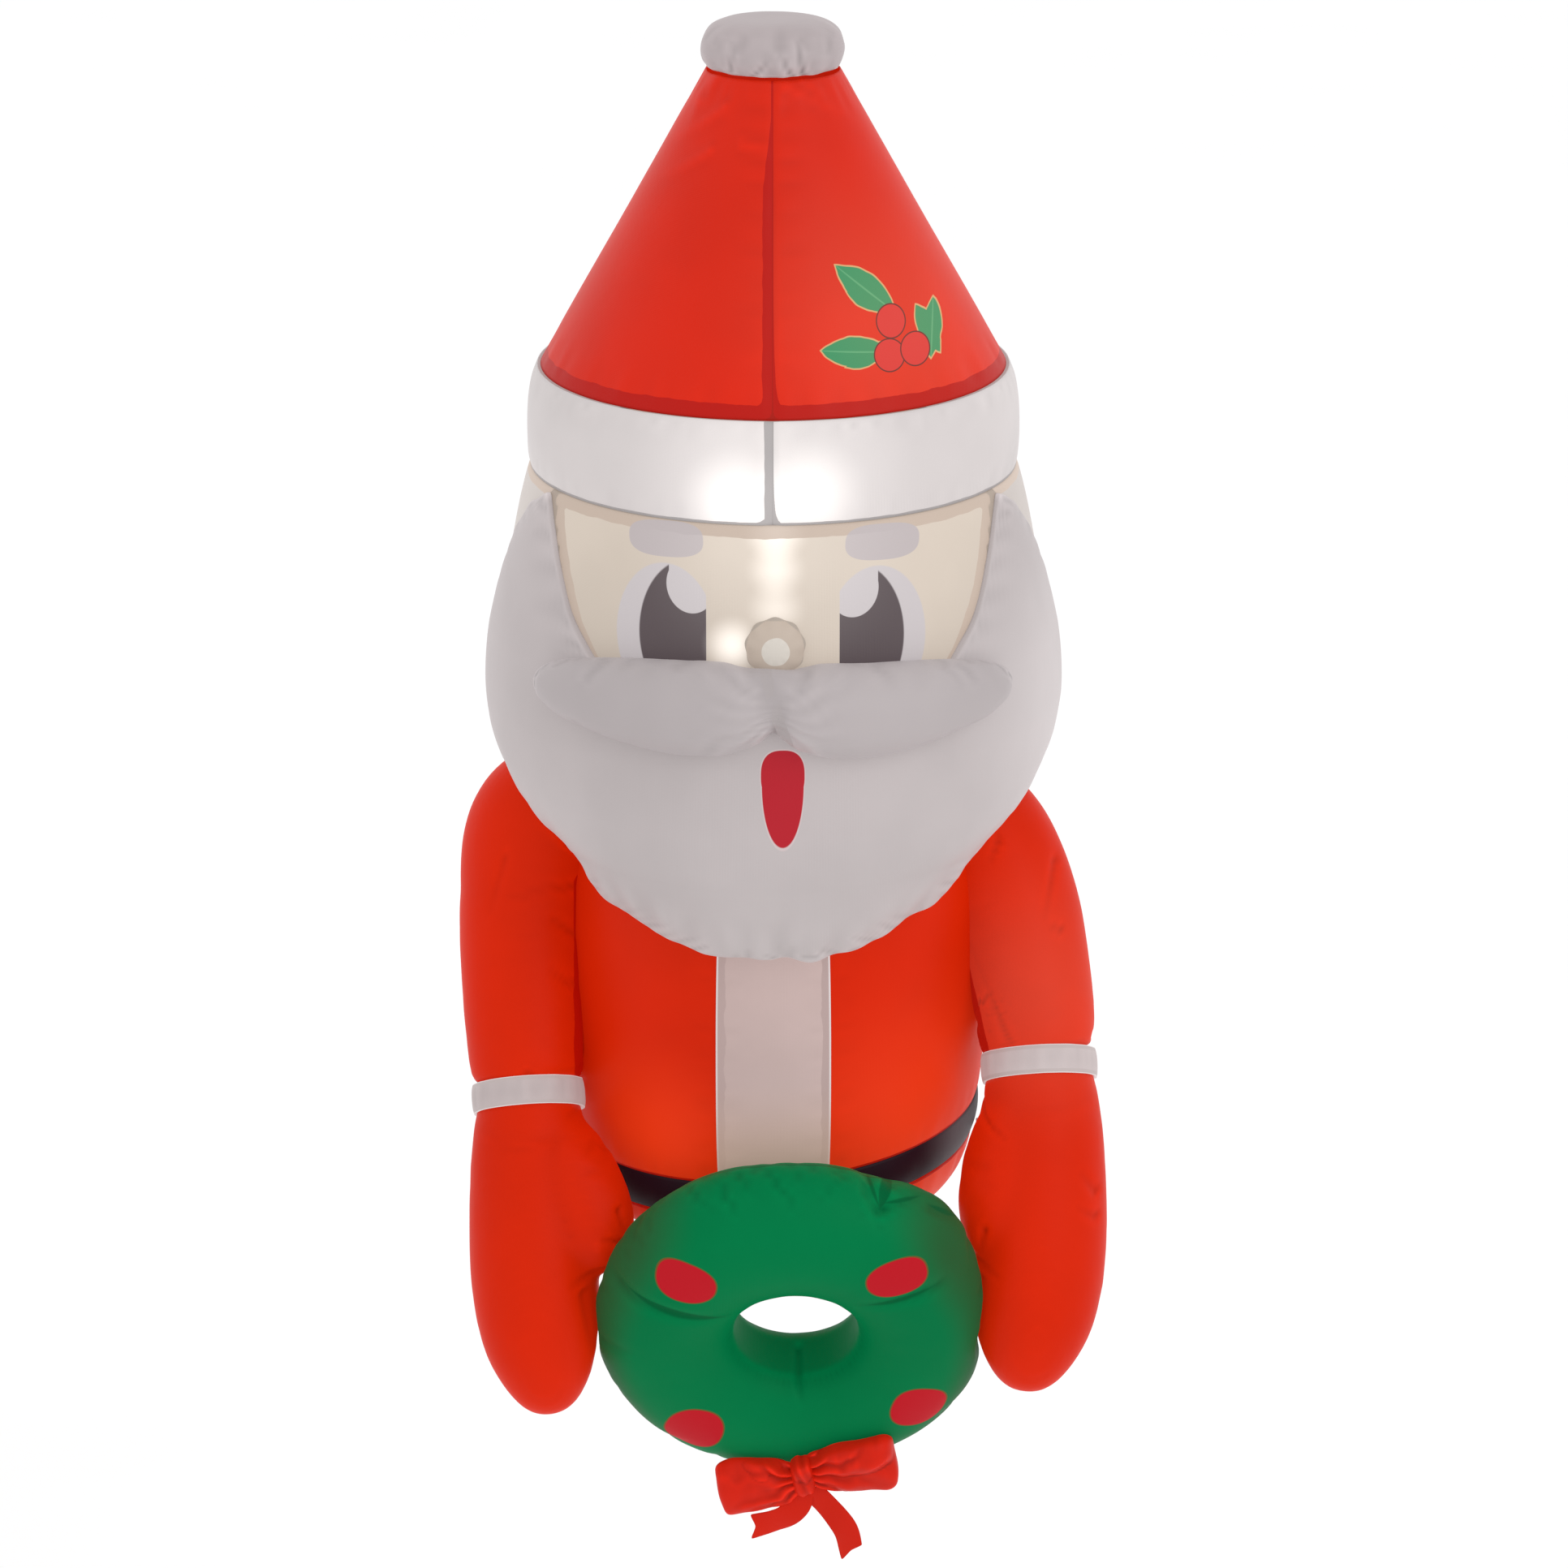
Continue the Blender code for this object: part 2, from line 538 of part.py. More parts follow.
def ribbon(name, outline, depth):
    """A flat ribbon end, from its outline seen from the front."""
    curve = bpy.data.curves.new(name, "CURVE")
    curve.dimensions = "2D"
    curve.fill_mode = "BOTH"
    curve.extrude = RIBBON_HALF_THICK
    spline = curve.splines.new("POLY")
    spline.use_cyclic_u = True
    spline.points.add(len(outline) - 1)
    for point, (x, z) in zip(spline.points, outline):
        point.co = (x, z, 0.0, 1.0)
    obj = bpy.data.objects.new(name, curve)
    curve.materials.append(MATS["bow"])
    PIECES.objects.link(obj)
    obj.location = (0.0, depth, 0.0)
    obj.rotation_euler = (math.pi / 2, 0.0, 0.0)


def make_tethers():
    """Short webbing tabs at the lower side seams."""
    for side, sign in (("left", -1), ("right", 1)):
        tab = box("tether_" + side, TETHER_SIZE, (sign * TETHER_X, AXIS_Y, TETHER_Z), PIECES, MATS["white"])
        tab.rotation_euler = (0.0, sign * math.radians(TETHER_DROOP), 0.0)


def main():
    make_hat()
    make_head()
    body = body_cutter()
    moustache = make_face_parts(body)
    make_coat(body)
    left_sleeve, left_mitt = make_arm("left", LEFT_SLEEVE, LEFT_MITT, LEFT_THUMB, body)
    right_sleeve, right_mitt = make_arm("right", RIGHT_SLEEVE, RIGHT_MITT, RIGHT_THUMB, body)
    make_beard(body, moustache, [left_sleeve, right_sleeve])
    wreath = make_wreath(body, left_mitt + right_mitt)
    combine(make_placket(), wreath)
    make_bow(wreath)
    make_tethers()


clear_scene()
PIECES = new_collection("inflatable_santa")
CUTTERS = new_collection("cutters")
MATS = {
    "red": new_material("red_polyester", RED, 0.55),
    "white": new_material("white_polyester", WHITE, 0.55),
    "beige": new_material("beige_polyester", BEIGE, 0.5),
    "green": new_material("green_polyester", GREEN, 0.55),
    "black": new_material("black_polyester", BLACK, 0.55),
    "bow": new_material("bow_polyester", BOW_RED, 0.5),
    "dark": new_material("black_plastic", (0.02, 0.02, 0.02), 0.45),
}
main()
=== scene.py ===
"""Looks of the window Santa: sewn, blown-up polyester lit from inside."""
import math

import bmesh
import bpy
import numpy as np
from mathutils import Matrix, Vector, noise


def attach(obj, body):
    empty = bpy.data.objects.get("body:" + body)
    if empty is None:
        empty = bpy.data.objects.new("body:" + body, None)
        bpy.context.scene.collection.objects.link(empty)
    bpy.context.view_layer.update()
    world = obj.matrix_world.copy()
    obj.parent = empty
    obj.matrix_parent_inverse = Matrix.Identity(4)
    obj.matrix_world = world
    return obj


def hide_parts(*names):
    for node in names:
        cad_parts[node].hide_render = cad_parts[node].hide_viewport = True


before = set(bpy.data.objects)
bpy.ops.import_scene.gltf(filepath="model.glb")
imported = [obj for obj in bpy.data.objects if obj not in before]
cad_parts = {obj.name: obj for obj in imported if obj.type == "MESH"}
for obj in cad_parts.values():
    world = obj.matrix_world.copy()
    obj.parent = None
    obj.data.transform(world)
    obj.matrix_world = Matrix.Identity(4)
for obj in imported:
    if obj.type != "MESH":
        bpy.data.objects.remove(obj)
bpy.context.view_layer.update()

# Places and sizes, in metres; the figure faces -Y
AXIS = Vector((0.0, -0.24, 0.0))
SPIN_STEPS = 192
ROW = 0.0050                 # height of a row of fabric cells
SKIN = 0.0008                # thickness of a sewn skin
AIR_FRAMES = 14
AIR_PRESSURE, CLOTH_STIFFNESS = 200.0, 30.0
MERGE = 0.00002              # points closer than this become one
NO_SEAM = 9.0                # seam distance far from any seam
RADIAN = 57.3                # degrees

HAT_TOP, HAT_BOTTOM, BRIM_BOTTOM = 0.8078, 0.6103, 0.5428
HAT_PROFILE = ((0.1572, 0.6103), (0.1290, 0.6597), (0.1005, 0.7091), (0.0725, 0.7585), (0.0447, 0.8078))
BRIM_PROFILE = ((0.1652, 0.5428), (0.1662, 0.5610), (0.1655, 0.5850), (0.1625, 0.6030), (0.1595, 0.6103))
HEAD_PROFILE = ((0.125, 0.305), (0.151, 0.325), (0.172, 0.362), (0.1820, 0.410),
                (0.1815, 0.460), (0.1740, 0.505), (0.1650, 0.5428))
FACE_TOP, FACE_DEPTH, FACE_SLOPE = 0.547, 0.0806, 0.534
COAT_PROFILE = ((0.1455, 0.0675), (0.1482, 0.093), (0.1495, 0.130), (0.1485, 0.190),
                (0.1440, 0.245), (0.1350, 0.283), (0.1220, 0.305))
BELT_BOTTOM, BELT_TOP = 0.0405, 0.0675
BELT_PROFILE = ((0.1430, 0.0405), (0.1458, 0.0490), (0.1466, 0.0575), (0.1457, 0.0675))
HEM_PROFILE = ((0.004, 0.0004), (0.045, 0.0004), (0.085, 0.0006), (0.112, 0.004), (0.130, 0.0138),
               (0.1395, 0.0268), (0.1430, 0.0405))
COAT_TOP, COAT_R = 0.305, 0.146
BELT_SLANT = math.tan(math.radians(4.8))
STRIP_HALF_ANGLE = 15.0      # degrees, a whole number of fabric columns
STRIP_TOP = 0.243

BEARD_REACH = 97.0
BEARD_CREST = ((0.24, 0.190), (0.30, 0.198), (0.34, 0.2005), (0.385, 0.2000), (0.432, 0.1945),
               (0.462, 0.1880), (0.50, 0.1800), (0.55, 0.1690))
BEARD_LOW = ((0, 0.2435), (20, 0.2510), (38, 0.2690), (61, 0.300), (78, 0.338), (97, 0.390))
BEARD_HIGH = ((0, 0.425), (25, 0.425), (35, 0.430), (47, 0.470), (56, 0.515), (62, 0.541),
              (70, 0.528), (80, 0.497), (90, 0.462), (97, 0.425))

MOUSTACHE_R, MOUSTACHE_HALF_ANGLE = 0.192, 44.0
MOUSTACHE_LOBES = ((-1.0, 0.4300, 0.0250), (-0.72, 0.4310, 0.0272), (-0.36, 0.4305, 0.0296),
                   (-0.14, 0.4330, 0.0275), (0.0, 0.4375, 0.0185), (0.14, 0.4320, 0.0275),
                   (0.36, 0.4285, 0.0296), (0.72, 0.4300, 0.0272), (1.0, 0.4300, 0.0250))

LEFT_SLEEVE = ((-0.118, -0.235, 0.305, 0.044), (-0.163, -0.243, 0.277, 0.049),
               (-0.1735, -0.262, 0.225, 0.0462), (-0.1745, -0.290, 0.170, 0.0428),
               (-0.1717, -0.3205, 0.1125, 0.0388))
RIGHT_SLEEVE = ((0.112, -0.235, 0.300, 0.044), (0.146, -0.243, 0.266, 0.047),
                (0.166, -0.260, 0.226, 0.0462), (0.1775, -0.286, 0.182, 0.0430),
                (0.1846, -0.3133, 0.1330, 0.0400))
LEFT_MITT = ((-0.1704, -0.330, 0.0970, 0.0370), (-0.1695, -0.352, 0.0560, 0.0420),
             (-0.1672, -0.377, 0.0080, 0.0452), (-0.1640, -0.396, -0.0380, 0.0440),
             (-0.1600, -0.407, -0.0690, 0.0400), (-0.1568, -0.416, -0.0955, 0.0340))
RIGHT_MITT = ((0.1855, -0.323, 0.1170, 0.0385), (0.1860, -0.344, 0.0750, 0.0440),
              (0.1840, -0.371, 0.0230, 0.0472), (0.1810, -0.392, -0.0210, 0.0460),
              (0.1775, -0.403, -0.0510, 0.0420), (0.1742, -0.412, -0.0785, 0.0350))
LEFT_THUMB = ((-0.157, -0.340, 0.096, 0.0305), (-0.1415, -0.358, 0.068, 0.0305),
              (-0.1240, -0.380, 0.033, 0.0285), (-0.1170, -0.394, 0.000, 0.0200))
RIGHT_THUMB = ((0.176, -0.332, 0.114, 0.0305), (0.166, -0.352, 0.088, 0.0300),
               (0.1550, -0.376, 0.046, 0.0280), (0.1530, -0.394, 0.008, 0.0200))
PALM_ENDS, THUMB_ENDS = (18.0, 2.8), (2.4, 3.4)    # how square the ends are

WREATH_CENTRE = Vector((0.012, -0.398, -0.030))
WREATH_TILT = math.radians(20.0)
WREATH_PROFILE = ((0.0430, 0.0170), (0.0500, 0.0310), (0.0690, 0.0405), (0.0910, 0.0405),
                  (0.1140, 0.0330), (0.1290, 0.0180), (0.1350, 0.0))
WREATH_SEAM = (0.1290, -0.0215)
WREATH_TUBE_R = 0.080        # from the wreath's centre to the middle of its tube
HOLE_SHIFT = (0.0035, 0.0030)

BOW_CENTRE = Vector((0.0205, -0.405, -0.150))
BOW_TILT = math.radians(12.0)

NECK_HALF_WIDTH, NECK_HEIGHT, NECK_FRONT, NECK_BACK = 0.115, 0.140, -0.20, 0.104
PANEL_BACK = 0.1103
INTAKE_R = 0.048

CAMERA_BACK, CAMERA_HEIGHT, CAMERA_SIDE = 2.76, 1.31, 0.0072
CAMERA_PITCH, CAMERA_LENS = 20.0, 96.28

RED = (0.635, 0.0175, 0.0006)
WHITE = (0.50, 0.428, 0.424)
BEIGE = (0.63, 0.545, 0.465)
GREEN = (0.0, 0.168, 0.052)
BLACK = (0.018, 0.006, 0.011)
BOW_RED = (0.575, 0.014, 0.004)


def clamp(value):
    return max(0.0, min(1.0, value))


def between(stations, place):
    """Value at a place along (place, value) stations, by straight runs."""
    for (a, va), (b, vb) in zip(stations, stations[1:]):
        if a <= place <= b:
            return va + (vb - va) * (place - a) / (b - a)
    return stations[0][1] if place < stations[0][0] else stations[-1][1]


def smooth_through(points, spacing):
    """Evenly spaced points on a smooth curve through the given ones."""
    pts = [Vector(p) for p in points]
    pts = [pts[0] * 2 - pts[1]] + pts + [pts[-1] * 2 - pts[-2]]
    dense = []
    for a, b, c, d in zip(pts, pts[1:], pts[2:], pts[3:]):
        for step in range(24):
            t = step / 24
            dense.append(0.5 * (2 * b + (c - a) * t + (2 * a - 5 * b + 4 * c - d) * t * t
                                + (3 * b - a - 3 * c + d) * t ** 3))
    dense.append(pts[-2])
    size = min(3, len(dense[0]))
    reach = [0.0]
    for a, b in zip(dense, dense[1:]):
        reach.append(reach[-1] + (Vector(b[:size]) - Vector(a[:size])).length)
    count = max(2, round(reach[-1] / spacing))
    even = []
    index = 0
    for step in range(count + 1):
        aim = reach[-1] * step / count
        while index < len(reach) - 2 and reach[index + 1] < aim:
            index += 1
        run = reach[index + 1] - reach[index]
        share = (aim - reach[index]) / run if run else 0.0
        even.append(dense[index].lerp(dense[index + 1], min(1.0, share)))
    return even


def opened(*pieces):
    """A bmesh that holds the pieces' faces."""
    bm = bmesh.new()
    for piece in pieces:
        bm.from_mesh(piece.data)
    return bm


def write_into(mesh, bm):
    for face in bm.faces:
        face.smooth = True
    bm.to_mesh(mesh)
    bm.free()


def add_object(name, data):
    thing = bpy.data.objects.new(name, data)
    bpy.context.scene.collection.objects.link(thing)
    return thing


def finish_mesh(bm, name, outward=True):
    """Closes a bmesh into an object at the origin; outward turns a closed skin's faces outwards."""
    bmesh.ops.remove_doubles(bm, verts=bm.verts, dist=MERGE)
    if outward:
        bmesh.ops.recalc_face_normals(bm, faces=bm.faces)
    mesh = bpy.data.meshes.new(name)
    write_into(mesh, bm)
    return add_object(name, mesh)


def shift(bm, move):
    bmesh.ops.translate(bm, verts=bm.verts, vec=move)


def turn(bm, angle, axis, centre=(0, 0, 0)):
    bmesh.ops.rotate(bm, verts=bm.verts, cent=centre, matrix=Matrix.Rotation(angle, 3, axis))


def only_verts(geometry):
    return [item for item in geometry if isinstance(item, bmesh.types.BMVert)]


def on_axis(point):
    return Vector((AXIS.x, AXIS.y, point.z))


def face_outward(bm, centre_of):
    """Turns an open skin's faces away from the line or point that centre_of gives."""
    bmesh.ops.recalc_face_normals(bm, faces=bm.faces)
    lean = 0.0
    for face in bm.faces:
        middle = face.calc_center_median()
        lean += face.normal.dot(middle - centre_of(middle)) * face.calc_area()
    if lean < 0:
        bmesh.ops.reverse_faces(bm, faces=bm.faces)


def spun(points, steps, axis=(0, 0, 1), centre=(0, 0, 0), closed=False):
    """A line of points spun once round; closed joins its last point to its first."""
    bm = bmesh.new()
    verts = [bm.verts.new(p) for p in points]
    runs = list(zip(verts, verts[1:]))
    if closed:
        runs.append((verts[-1], verts[0]))
    for run in runs:
        bm.edges.new(run)
    bmesh.ops.spin(bm, geom=bm.verts[:] + bm.edges[:], cent=centre, axis=axis, angle=math.tau,
                   steps=steps, use_merge=True)
    return bm


def spin_skin(name, profile, spacing=ROW):
    """Open skin spun about the upright line through AXIS, from (radius, height) points."""
    line = smooth_through(profile, spacing)
    bm = spun([(AXIS.x + p[0], AXIS.y, p[1]) for p in line], SPIN_STEPS, centre=AXIS)
    turn(bm, -math.pi / 2, "Z", AXIS)
    face_outward(bm, on_axis)
    return finish_mesh(bm, name, outward=False)


def round_block(cuts):
    """A ball of even quads, from a cube that is subdivided and rounded."""
    bm = bmesh.new()
    bmesh.ops.create_cube(bm, size=2.0)
    bmesh.ops.subdivide_edges(bm, edges=bm.edges[:], cuts=cuts, use_grid_fill=True)
    for vert in bm.verts:
        x, y, z = (math.tan(c * math.pi / 4) for c in vert.co)
        vert.co = Vector((x, y, z)).normalized()
    return bm


def bolster(points, cuts, flat=1.0, blunt=3.5, up=Vector((0, 0, 1))):
    """A filled sleeve along points that hold a radius; blunt is how square its ends are."""
    ends = blunt if isinstance(blunt, tuple) else (blunt, blunt)
    line = smooth_through(points, 0.002)
    last = len(line) - 1
    bm = round_block(cuts)
    for vert in bm.verts:
        along = max(-1.0, min(1.0, vert.co.x))
        place = (along + 1) / 2 * last
        index = min(last - 1, int(place))
        spot = line[index].lerp(line[index + 1], place - index)
        ahead = Vector((line[index + 1] - line[index])[:3]).normalized()
        side = ahead.cross(up).normalized()
        top = side.cross(ahead).normalized()
        across = Vector((vert.co.y, vert.co.z))
        if across.length > 1e-9:
            across.normalize()
        power = ends[0] if along < 0 else ends[1]
        radius = spot[3] * max(0.0, 1 - abs(along) ** power) ** (1 / power)
        vert.co = Vector(spot[:3]) + side * across.x * radius * flat + top * across.y * radius
    return bm


def seam_distance(piece, measure=lambda point: NO_SEAM):
    """Stores how far each point of a piece lies from a seam, for its material."""
    layer = piece.data.attributes.new("seam", "FLOAT", "POINT")
    layer.data.foreach_set("value", [measure(v.co) for v in piece.data.vertices])


def waves(point, size, seed=0.0):
    """Repeatable soft noise from -1 to 1 at a size in metres."""
    return noise.noise(point / size + Vector((seed, seed * 0.7, -seed)))


def soften(piece, passes, free=lambda point: True):
    """Evens out a skin's points where free(point) is true, without changing its faces."""
    bm = opened(piece)
    loose = [vert for vert in bm.verts if free(vert.co)]
    for _ in range(passes):
        bmesh.ops.smooth_vert(bm, verts=loose, factor=0.5, use_axis_x=True, use_axis_y=True, use_axis_z=True)
    write_into(piece.data, bm)


def push_out(piece, amount):
    """Moves each point of a piece along its normal by amount(point), in metres."""
    moves = [vert.normal * amount(vert.co) for vert in piece.data.vertices]
    for vert, move in zip(piece.data.vertices, moves):
        vert.co += move
    piece.data.update()


def spots_of(mesh):
    """The points of a mesh as rows."""
    spots = np.empty(len(mesh.vertices) * 3)
    mesh.vertices.foreach_get("co", spots)
    return spots.reshape(-1, 3)


UNDER_AIR = []               # skins that wait for the air: piece, cloth, points before, largest move


def blow_up(piece, held, growth=0.004, bend=0.10, cap=0.004, slack=None, extra=0.05):
    """Makes a skin ready for the air; held(point) is true at the seams that stay in place.

    slack(point) from 0 to 1 tells where the cloth is gathered, which leaves puckers there.
    """
    mesh = piece.data
    before = spots_of(mesh)
    seam = piece.vertex_groups.new(name="seam")
    for vert in mesh.vertices:
        if held(vert.co):
            seam.add([vert.index], 1.0, "REPLACE")
    push_out(piece, lambda p: 0.0 if held(p) else 0.0003 * waves(p, 0.012, 3.0))
    cloth = piece.modifiers.new("cloth", "CLOTH")
    knobs = cloth.settings
    knobs.quality = 4
    knobs.mass = 0.05
    knobs.tension_stiffness = CLOTH_STIFFNESS
    knobs.compression_stiffness = CLOTH_STIFFNESS
    knobs.shear_stiffness = CLOTH_STIFFNESS / 3
    knobs.bending_stiffness = bend
    knobs.use_pressure = True
    knobs.uniform_pressure_force = AIR_PRESSURE
    knobs.shrink_min = -growth
    knobs.shrink_max = -growth
    knobs.vertex_group_mass = "seam"
    if slack is not None:
        loose = piece.vertex_groups.new(name="loose")
        for vert in mesh.vertices:
            loose.add([vert.index], slack(vert.co), "REPLACE")
        knobs.vertex_group_shrink = "loose"
        knobs.shrink_max = -growth - extra
    knobs.effector_weights.gravity = 0.0
    cloth.collision_settings.use_collision = False
    cloth.collision_settings.use_self_collision = False
    cloth.point_cache.frame_end = AIR_FRAMES + 1
    UNDER_AIR.append((piece, cloth, before, cap))


def run_air():
    """Swells every skin that waits with one cloth simulation, and keeps the shapes."""
    if not UNDER_AIR:
        return
    scene = bpy.context.scene
    for number in range(1, AIR_FRAMES + 1):
        scene.frame_set(number)
    graph = bpy.context.evaluated_depsgraph_get()
    swollen = [spots_of(piece.evaluated_get(graph).data) for piece, *_ in UNDER_AIR]
    for (piece, cloth, before, cap), after in zip(UNDER_AIR, swollen):
        piece.modifiers.remove(cloth)
        piece.vertex_groups.clear()
        move = np.nan_to_num(after - before)
        length = np.linalg.norm(move, axis=1, keepdims=True)
        move *= cap * np.tanh(length / cap) / np.maximum(length, 1e-9)
        piece.data.vertices.foreach_set("co", (before + move).ravel())
        piece.data.update()
    UNDER_AIR.clear()
    scene.frame_set(1)


def store_folds(piece, sharp=260.0):
    """Stores how hollow (+) or raised (-) the cloth is at each point, as a share of a sharp fold, for the
    painted shade in hollows and the painted highlight on raised folds.
    """
    mesh = piece.data
    spots = spots_of(mesh)
    count = len(spots)
    normals = np.empty(count * 3)
    mesh.vertex_normals.foreach_get("vector", normals)
    normals = normals.reshape(-1, 3)
    ends = np.empty(len(mesh.edges) * 2, dtype=np.int64)
    mesh.edges.foreach_get("vertices", ends)
    a, b = ends.reshape(-1, 2).T
    run = spots[b] - spots[a]
    square = (run ** 2).sum(axis=1)
    lean = np.zeros(count)
    near = np.zeros(count)
    np.add.at(lean, a, (run * normals[a]).sum(axis=1))
    np.add.at(lean, b, (-run * normals[b]).sum(axis=1))
    np.add.at(near, a, square)
    np.add.at(near, b, square)
    hollow = 2.0 * lean / np.maximum(near, 1e-12)
    layer = mesh.attributes.new("fold", "FLOAT", "POINT")
    layer.data.foreach_set("value", np.clip((hollow - np.median(hollow)) / sharp, -1.0, 1.0))


def dress(piece, material, node, slot):
    """Gives a piece its material and body, and hides the node that it stands for; slot is not used."""
    piece.data.materials.clear()
    piece.data.materials.append(material)
    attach(piece, "root")
    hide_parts(node)


def sew(piece, material, node, slot, thick=0.0):
    """Dresses a skin, with one live subdivision and the fabric's thickness inwards."""
    store_folds(piece)
    rounder = piece.modifiers.new("subdivide", "SUBSURF")
    rounder.levels = 1
    rounder.render_levels = 1
    if thick:
        wall = piece.modifiers.new("thickness", "SOLIDIFY")
        wall.thickness = thick
        wall.offset = -1.0
        wall.use_rim = True
    dress(piece, material, node, slot)




class Shader:
    """Short way to lay out a material's nodes."""

    def __init__(self, name, roughness=0.5, specular=0.25):
        self.material = bpy.data.materials.new(name)
        self.material.use_nodes = True
        self.nodes = self.material.node_tree.nodes
        self.links = self.material.node_tree.links
        self.surface = self.nodes["Principled BSDF"].inputs
        self.feed(self.surface["Roughness"], roughness)
        self.feed(self.surface["Specular IOR Level"], specular)
        self.place = self.node("TexCoord", {})["Object"]
        self.x, self.y, self.z = self.node("SeparateXYZ", {0: self.place})

    def feed(self, socket, value):
        """Gives a socket a number, a colour or place, or another node's output."""
        if isinstance(value, bpy.types.NodeSocket):
            self.links.new(value, socket)
        elif isinstance(value, tuple):
            socket.default_value = (*value, 1.0)[:len(socket.default_value)]
        else:
            socket.default_value = value

    def node(self, kind, feeds, **settings):
        """Outputs of a new node."""
        node = self.nodes.new("ShaderNode" + kind)
        for name, value in settings.items():
            setattr(node, name, value)
        for name, value in feeds.items():
            self.feed(node.inputs[name], value)
        return node.outputs

    def math(self, operation, *values):
        return self.node("Math", dict(enumerate(values)), operation=operation)[0]

    def times(self, a, b):
        return self.math("MULTIPLY", a, b)

    def turned(self, u, v, cos, sin):
        """u * cos + v * sin."""
        return self.math("MULTIPLY_ADD", u, cos, self.times(v, sin))

    def attribute(self, name):
        return self.node("Attribute", {}, attribute_name=name)["Fac"]

    def noise(self, scale, detail=2.0):
        return self.node("TexNoise", {"Scale": scale, "Detail": detail, "Vector": self.place})["Fac"]

    def step(self, value, low, high, ends=(0.0, 1.0)):
        """Smooth step of a value from low to high."""
        feeds = {"Value": value, "From Min": low, "From Max": high, "To Min": ends[0], "To Max": ends[1]}
        return self.node("MapRange", feeds, interpolation_type="SMOOTHSTEP")["Result"]

    def mix(self, shade, colour, mask, *masks):
        """A shade with a colour laid over it where all the masks are 1."""
        for other in masks:
            mask = self.times(mask, other)
        return self.node("Mix", {"Factor": mask, "A": shade, "B": colour}, data_type="RGBA")["Result"]

    def scaled(self, colour, amount):
        """A colour multiplied by a number."""
        return self.node("VectorMath", {0: colour, "Scale": amount}, operation="SCALE")[0]

    def added(self, base, light):
        """The sum of two colours, or the base alone when there is no light."""
        return base if light is None else self.node("VectorMath", {0: base, 1: light}, operation="ADD")[0]

    def bump(self, height, strength, distance):
        feeds = {"Strength": strength, "Distance": distance, "Height": height}
        self.feed(self.surface["Normal"], self.node("Bump", feeds)["Normal"])

    def leaf(self, tip, base, width, axes=None):
        """Distance outside a pointed leaf on the front, in metres; below 0 inside it."""
        u, v = axes or (self.x, self.z)
        half = math.hypot(base[0] - tip[0], base[1] - tip[1]) / 2
        radius = (half * half + width * width / 4) / width
        ahead = ((base[0] - tip[0]) / half / 2, (base[1] - tip[1]) / half / 2)
        middle = ((tip[0] + base[0]) / 2, (tip[1] + base[1]) / 2)
        offset = radius - width / 2
        bounds = []
        for side in (-1, 1):
            du = self.math("SUBTRACT", u, middle[0] - side * ahead[1] * offset)
            dv = self.math("SUBTRACT", v, middle[1] + side * ahead[0] * offset)
            square = self.turned(du, dv, du, dv)
            bounds.append(self.math("SUBTRACT", self.math("SQRT", square), radius))
        return self.math("MAXIMUM", *bounds)

    def ellipse(self, centre, radii, tilt=0.0, axes=None, power=2.0):
        """Rises from 0 at the centre to 1 on the ellipse's edge; more power makes it squarer."""
        u, v = axes or (self.x, self.z)
        du = self.math("SUBTRACT", u, centre[0])
        dv = self.math("SUBTRACT", v, centre[1])
        cos, sin = math.cos(tilt), math.sin(tilt)
        a = self.math("DIVIDE", self.turned(du, dv, cos, sin), radii[0])
        b = self.math("DIVIDE", self.turned(dv, du, cos, -sin), radii[1])
        if power == 2.0:
            return self.math("SQRT", self.turned(a, b, a, b))
        a, b = (self.math("POWER", self.math("ABSOLUTE", value), power) for value in (a, b))
        return self.math("POWER", self.math("ADD", a, b), 1.0 / power)

    def inside(self, value, edge=1.0):
        """1 where a value is under the edge, with a narrow soft rim."""
        soft = 0.015
        return self.step(self.math("DIVIDE", value, edge), 1.0 - soft, 1.0 + soft, (1.0, 0.0))

    def glow(self, centre, reach, strength):
        """A soft round spot of light about a point of the surface."""
        distance = self.node("VectorMath", {0: self.place, 1: centre}, operation="DISTANCE")["Value"]
        return self.times(self.step(distance, 0.0, reach, (1.0, 0.0)), strength)

    def weave(self):
        """Fine plain weave and soft creases as bump."""
        feeds = {"Scale": 420.0, "Distortion": 0.6, "Vector": self.place}
        fine = [self.node("TexWave", feeds, bands_direction=axis)["Fac"] for axis in ("X", "Z")]
        cloth = self.times(self.math("ADD", *fine), 0.06)
        self.bump(self.math("ADD", cloth, self.noise(26.0, 3.0)), 0.12, 0.004)

    def finish(self, colour, lit, light=None):
        """Lets a colour be seen by outer light and, by the share lit, by the lamps inside."""
        self.feed(self.surface["Base Color"], self.scaled(colour, 1.0 - lit))
        self.feed(self.surface["Emission Color"], self.added(self.scaled(colour, lit), light))
        self.feed(self.surface["Emission Strength"], 1.0)
        return self.material


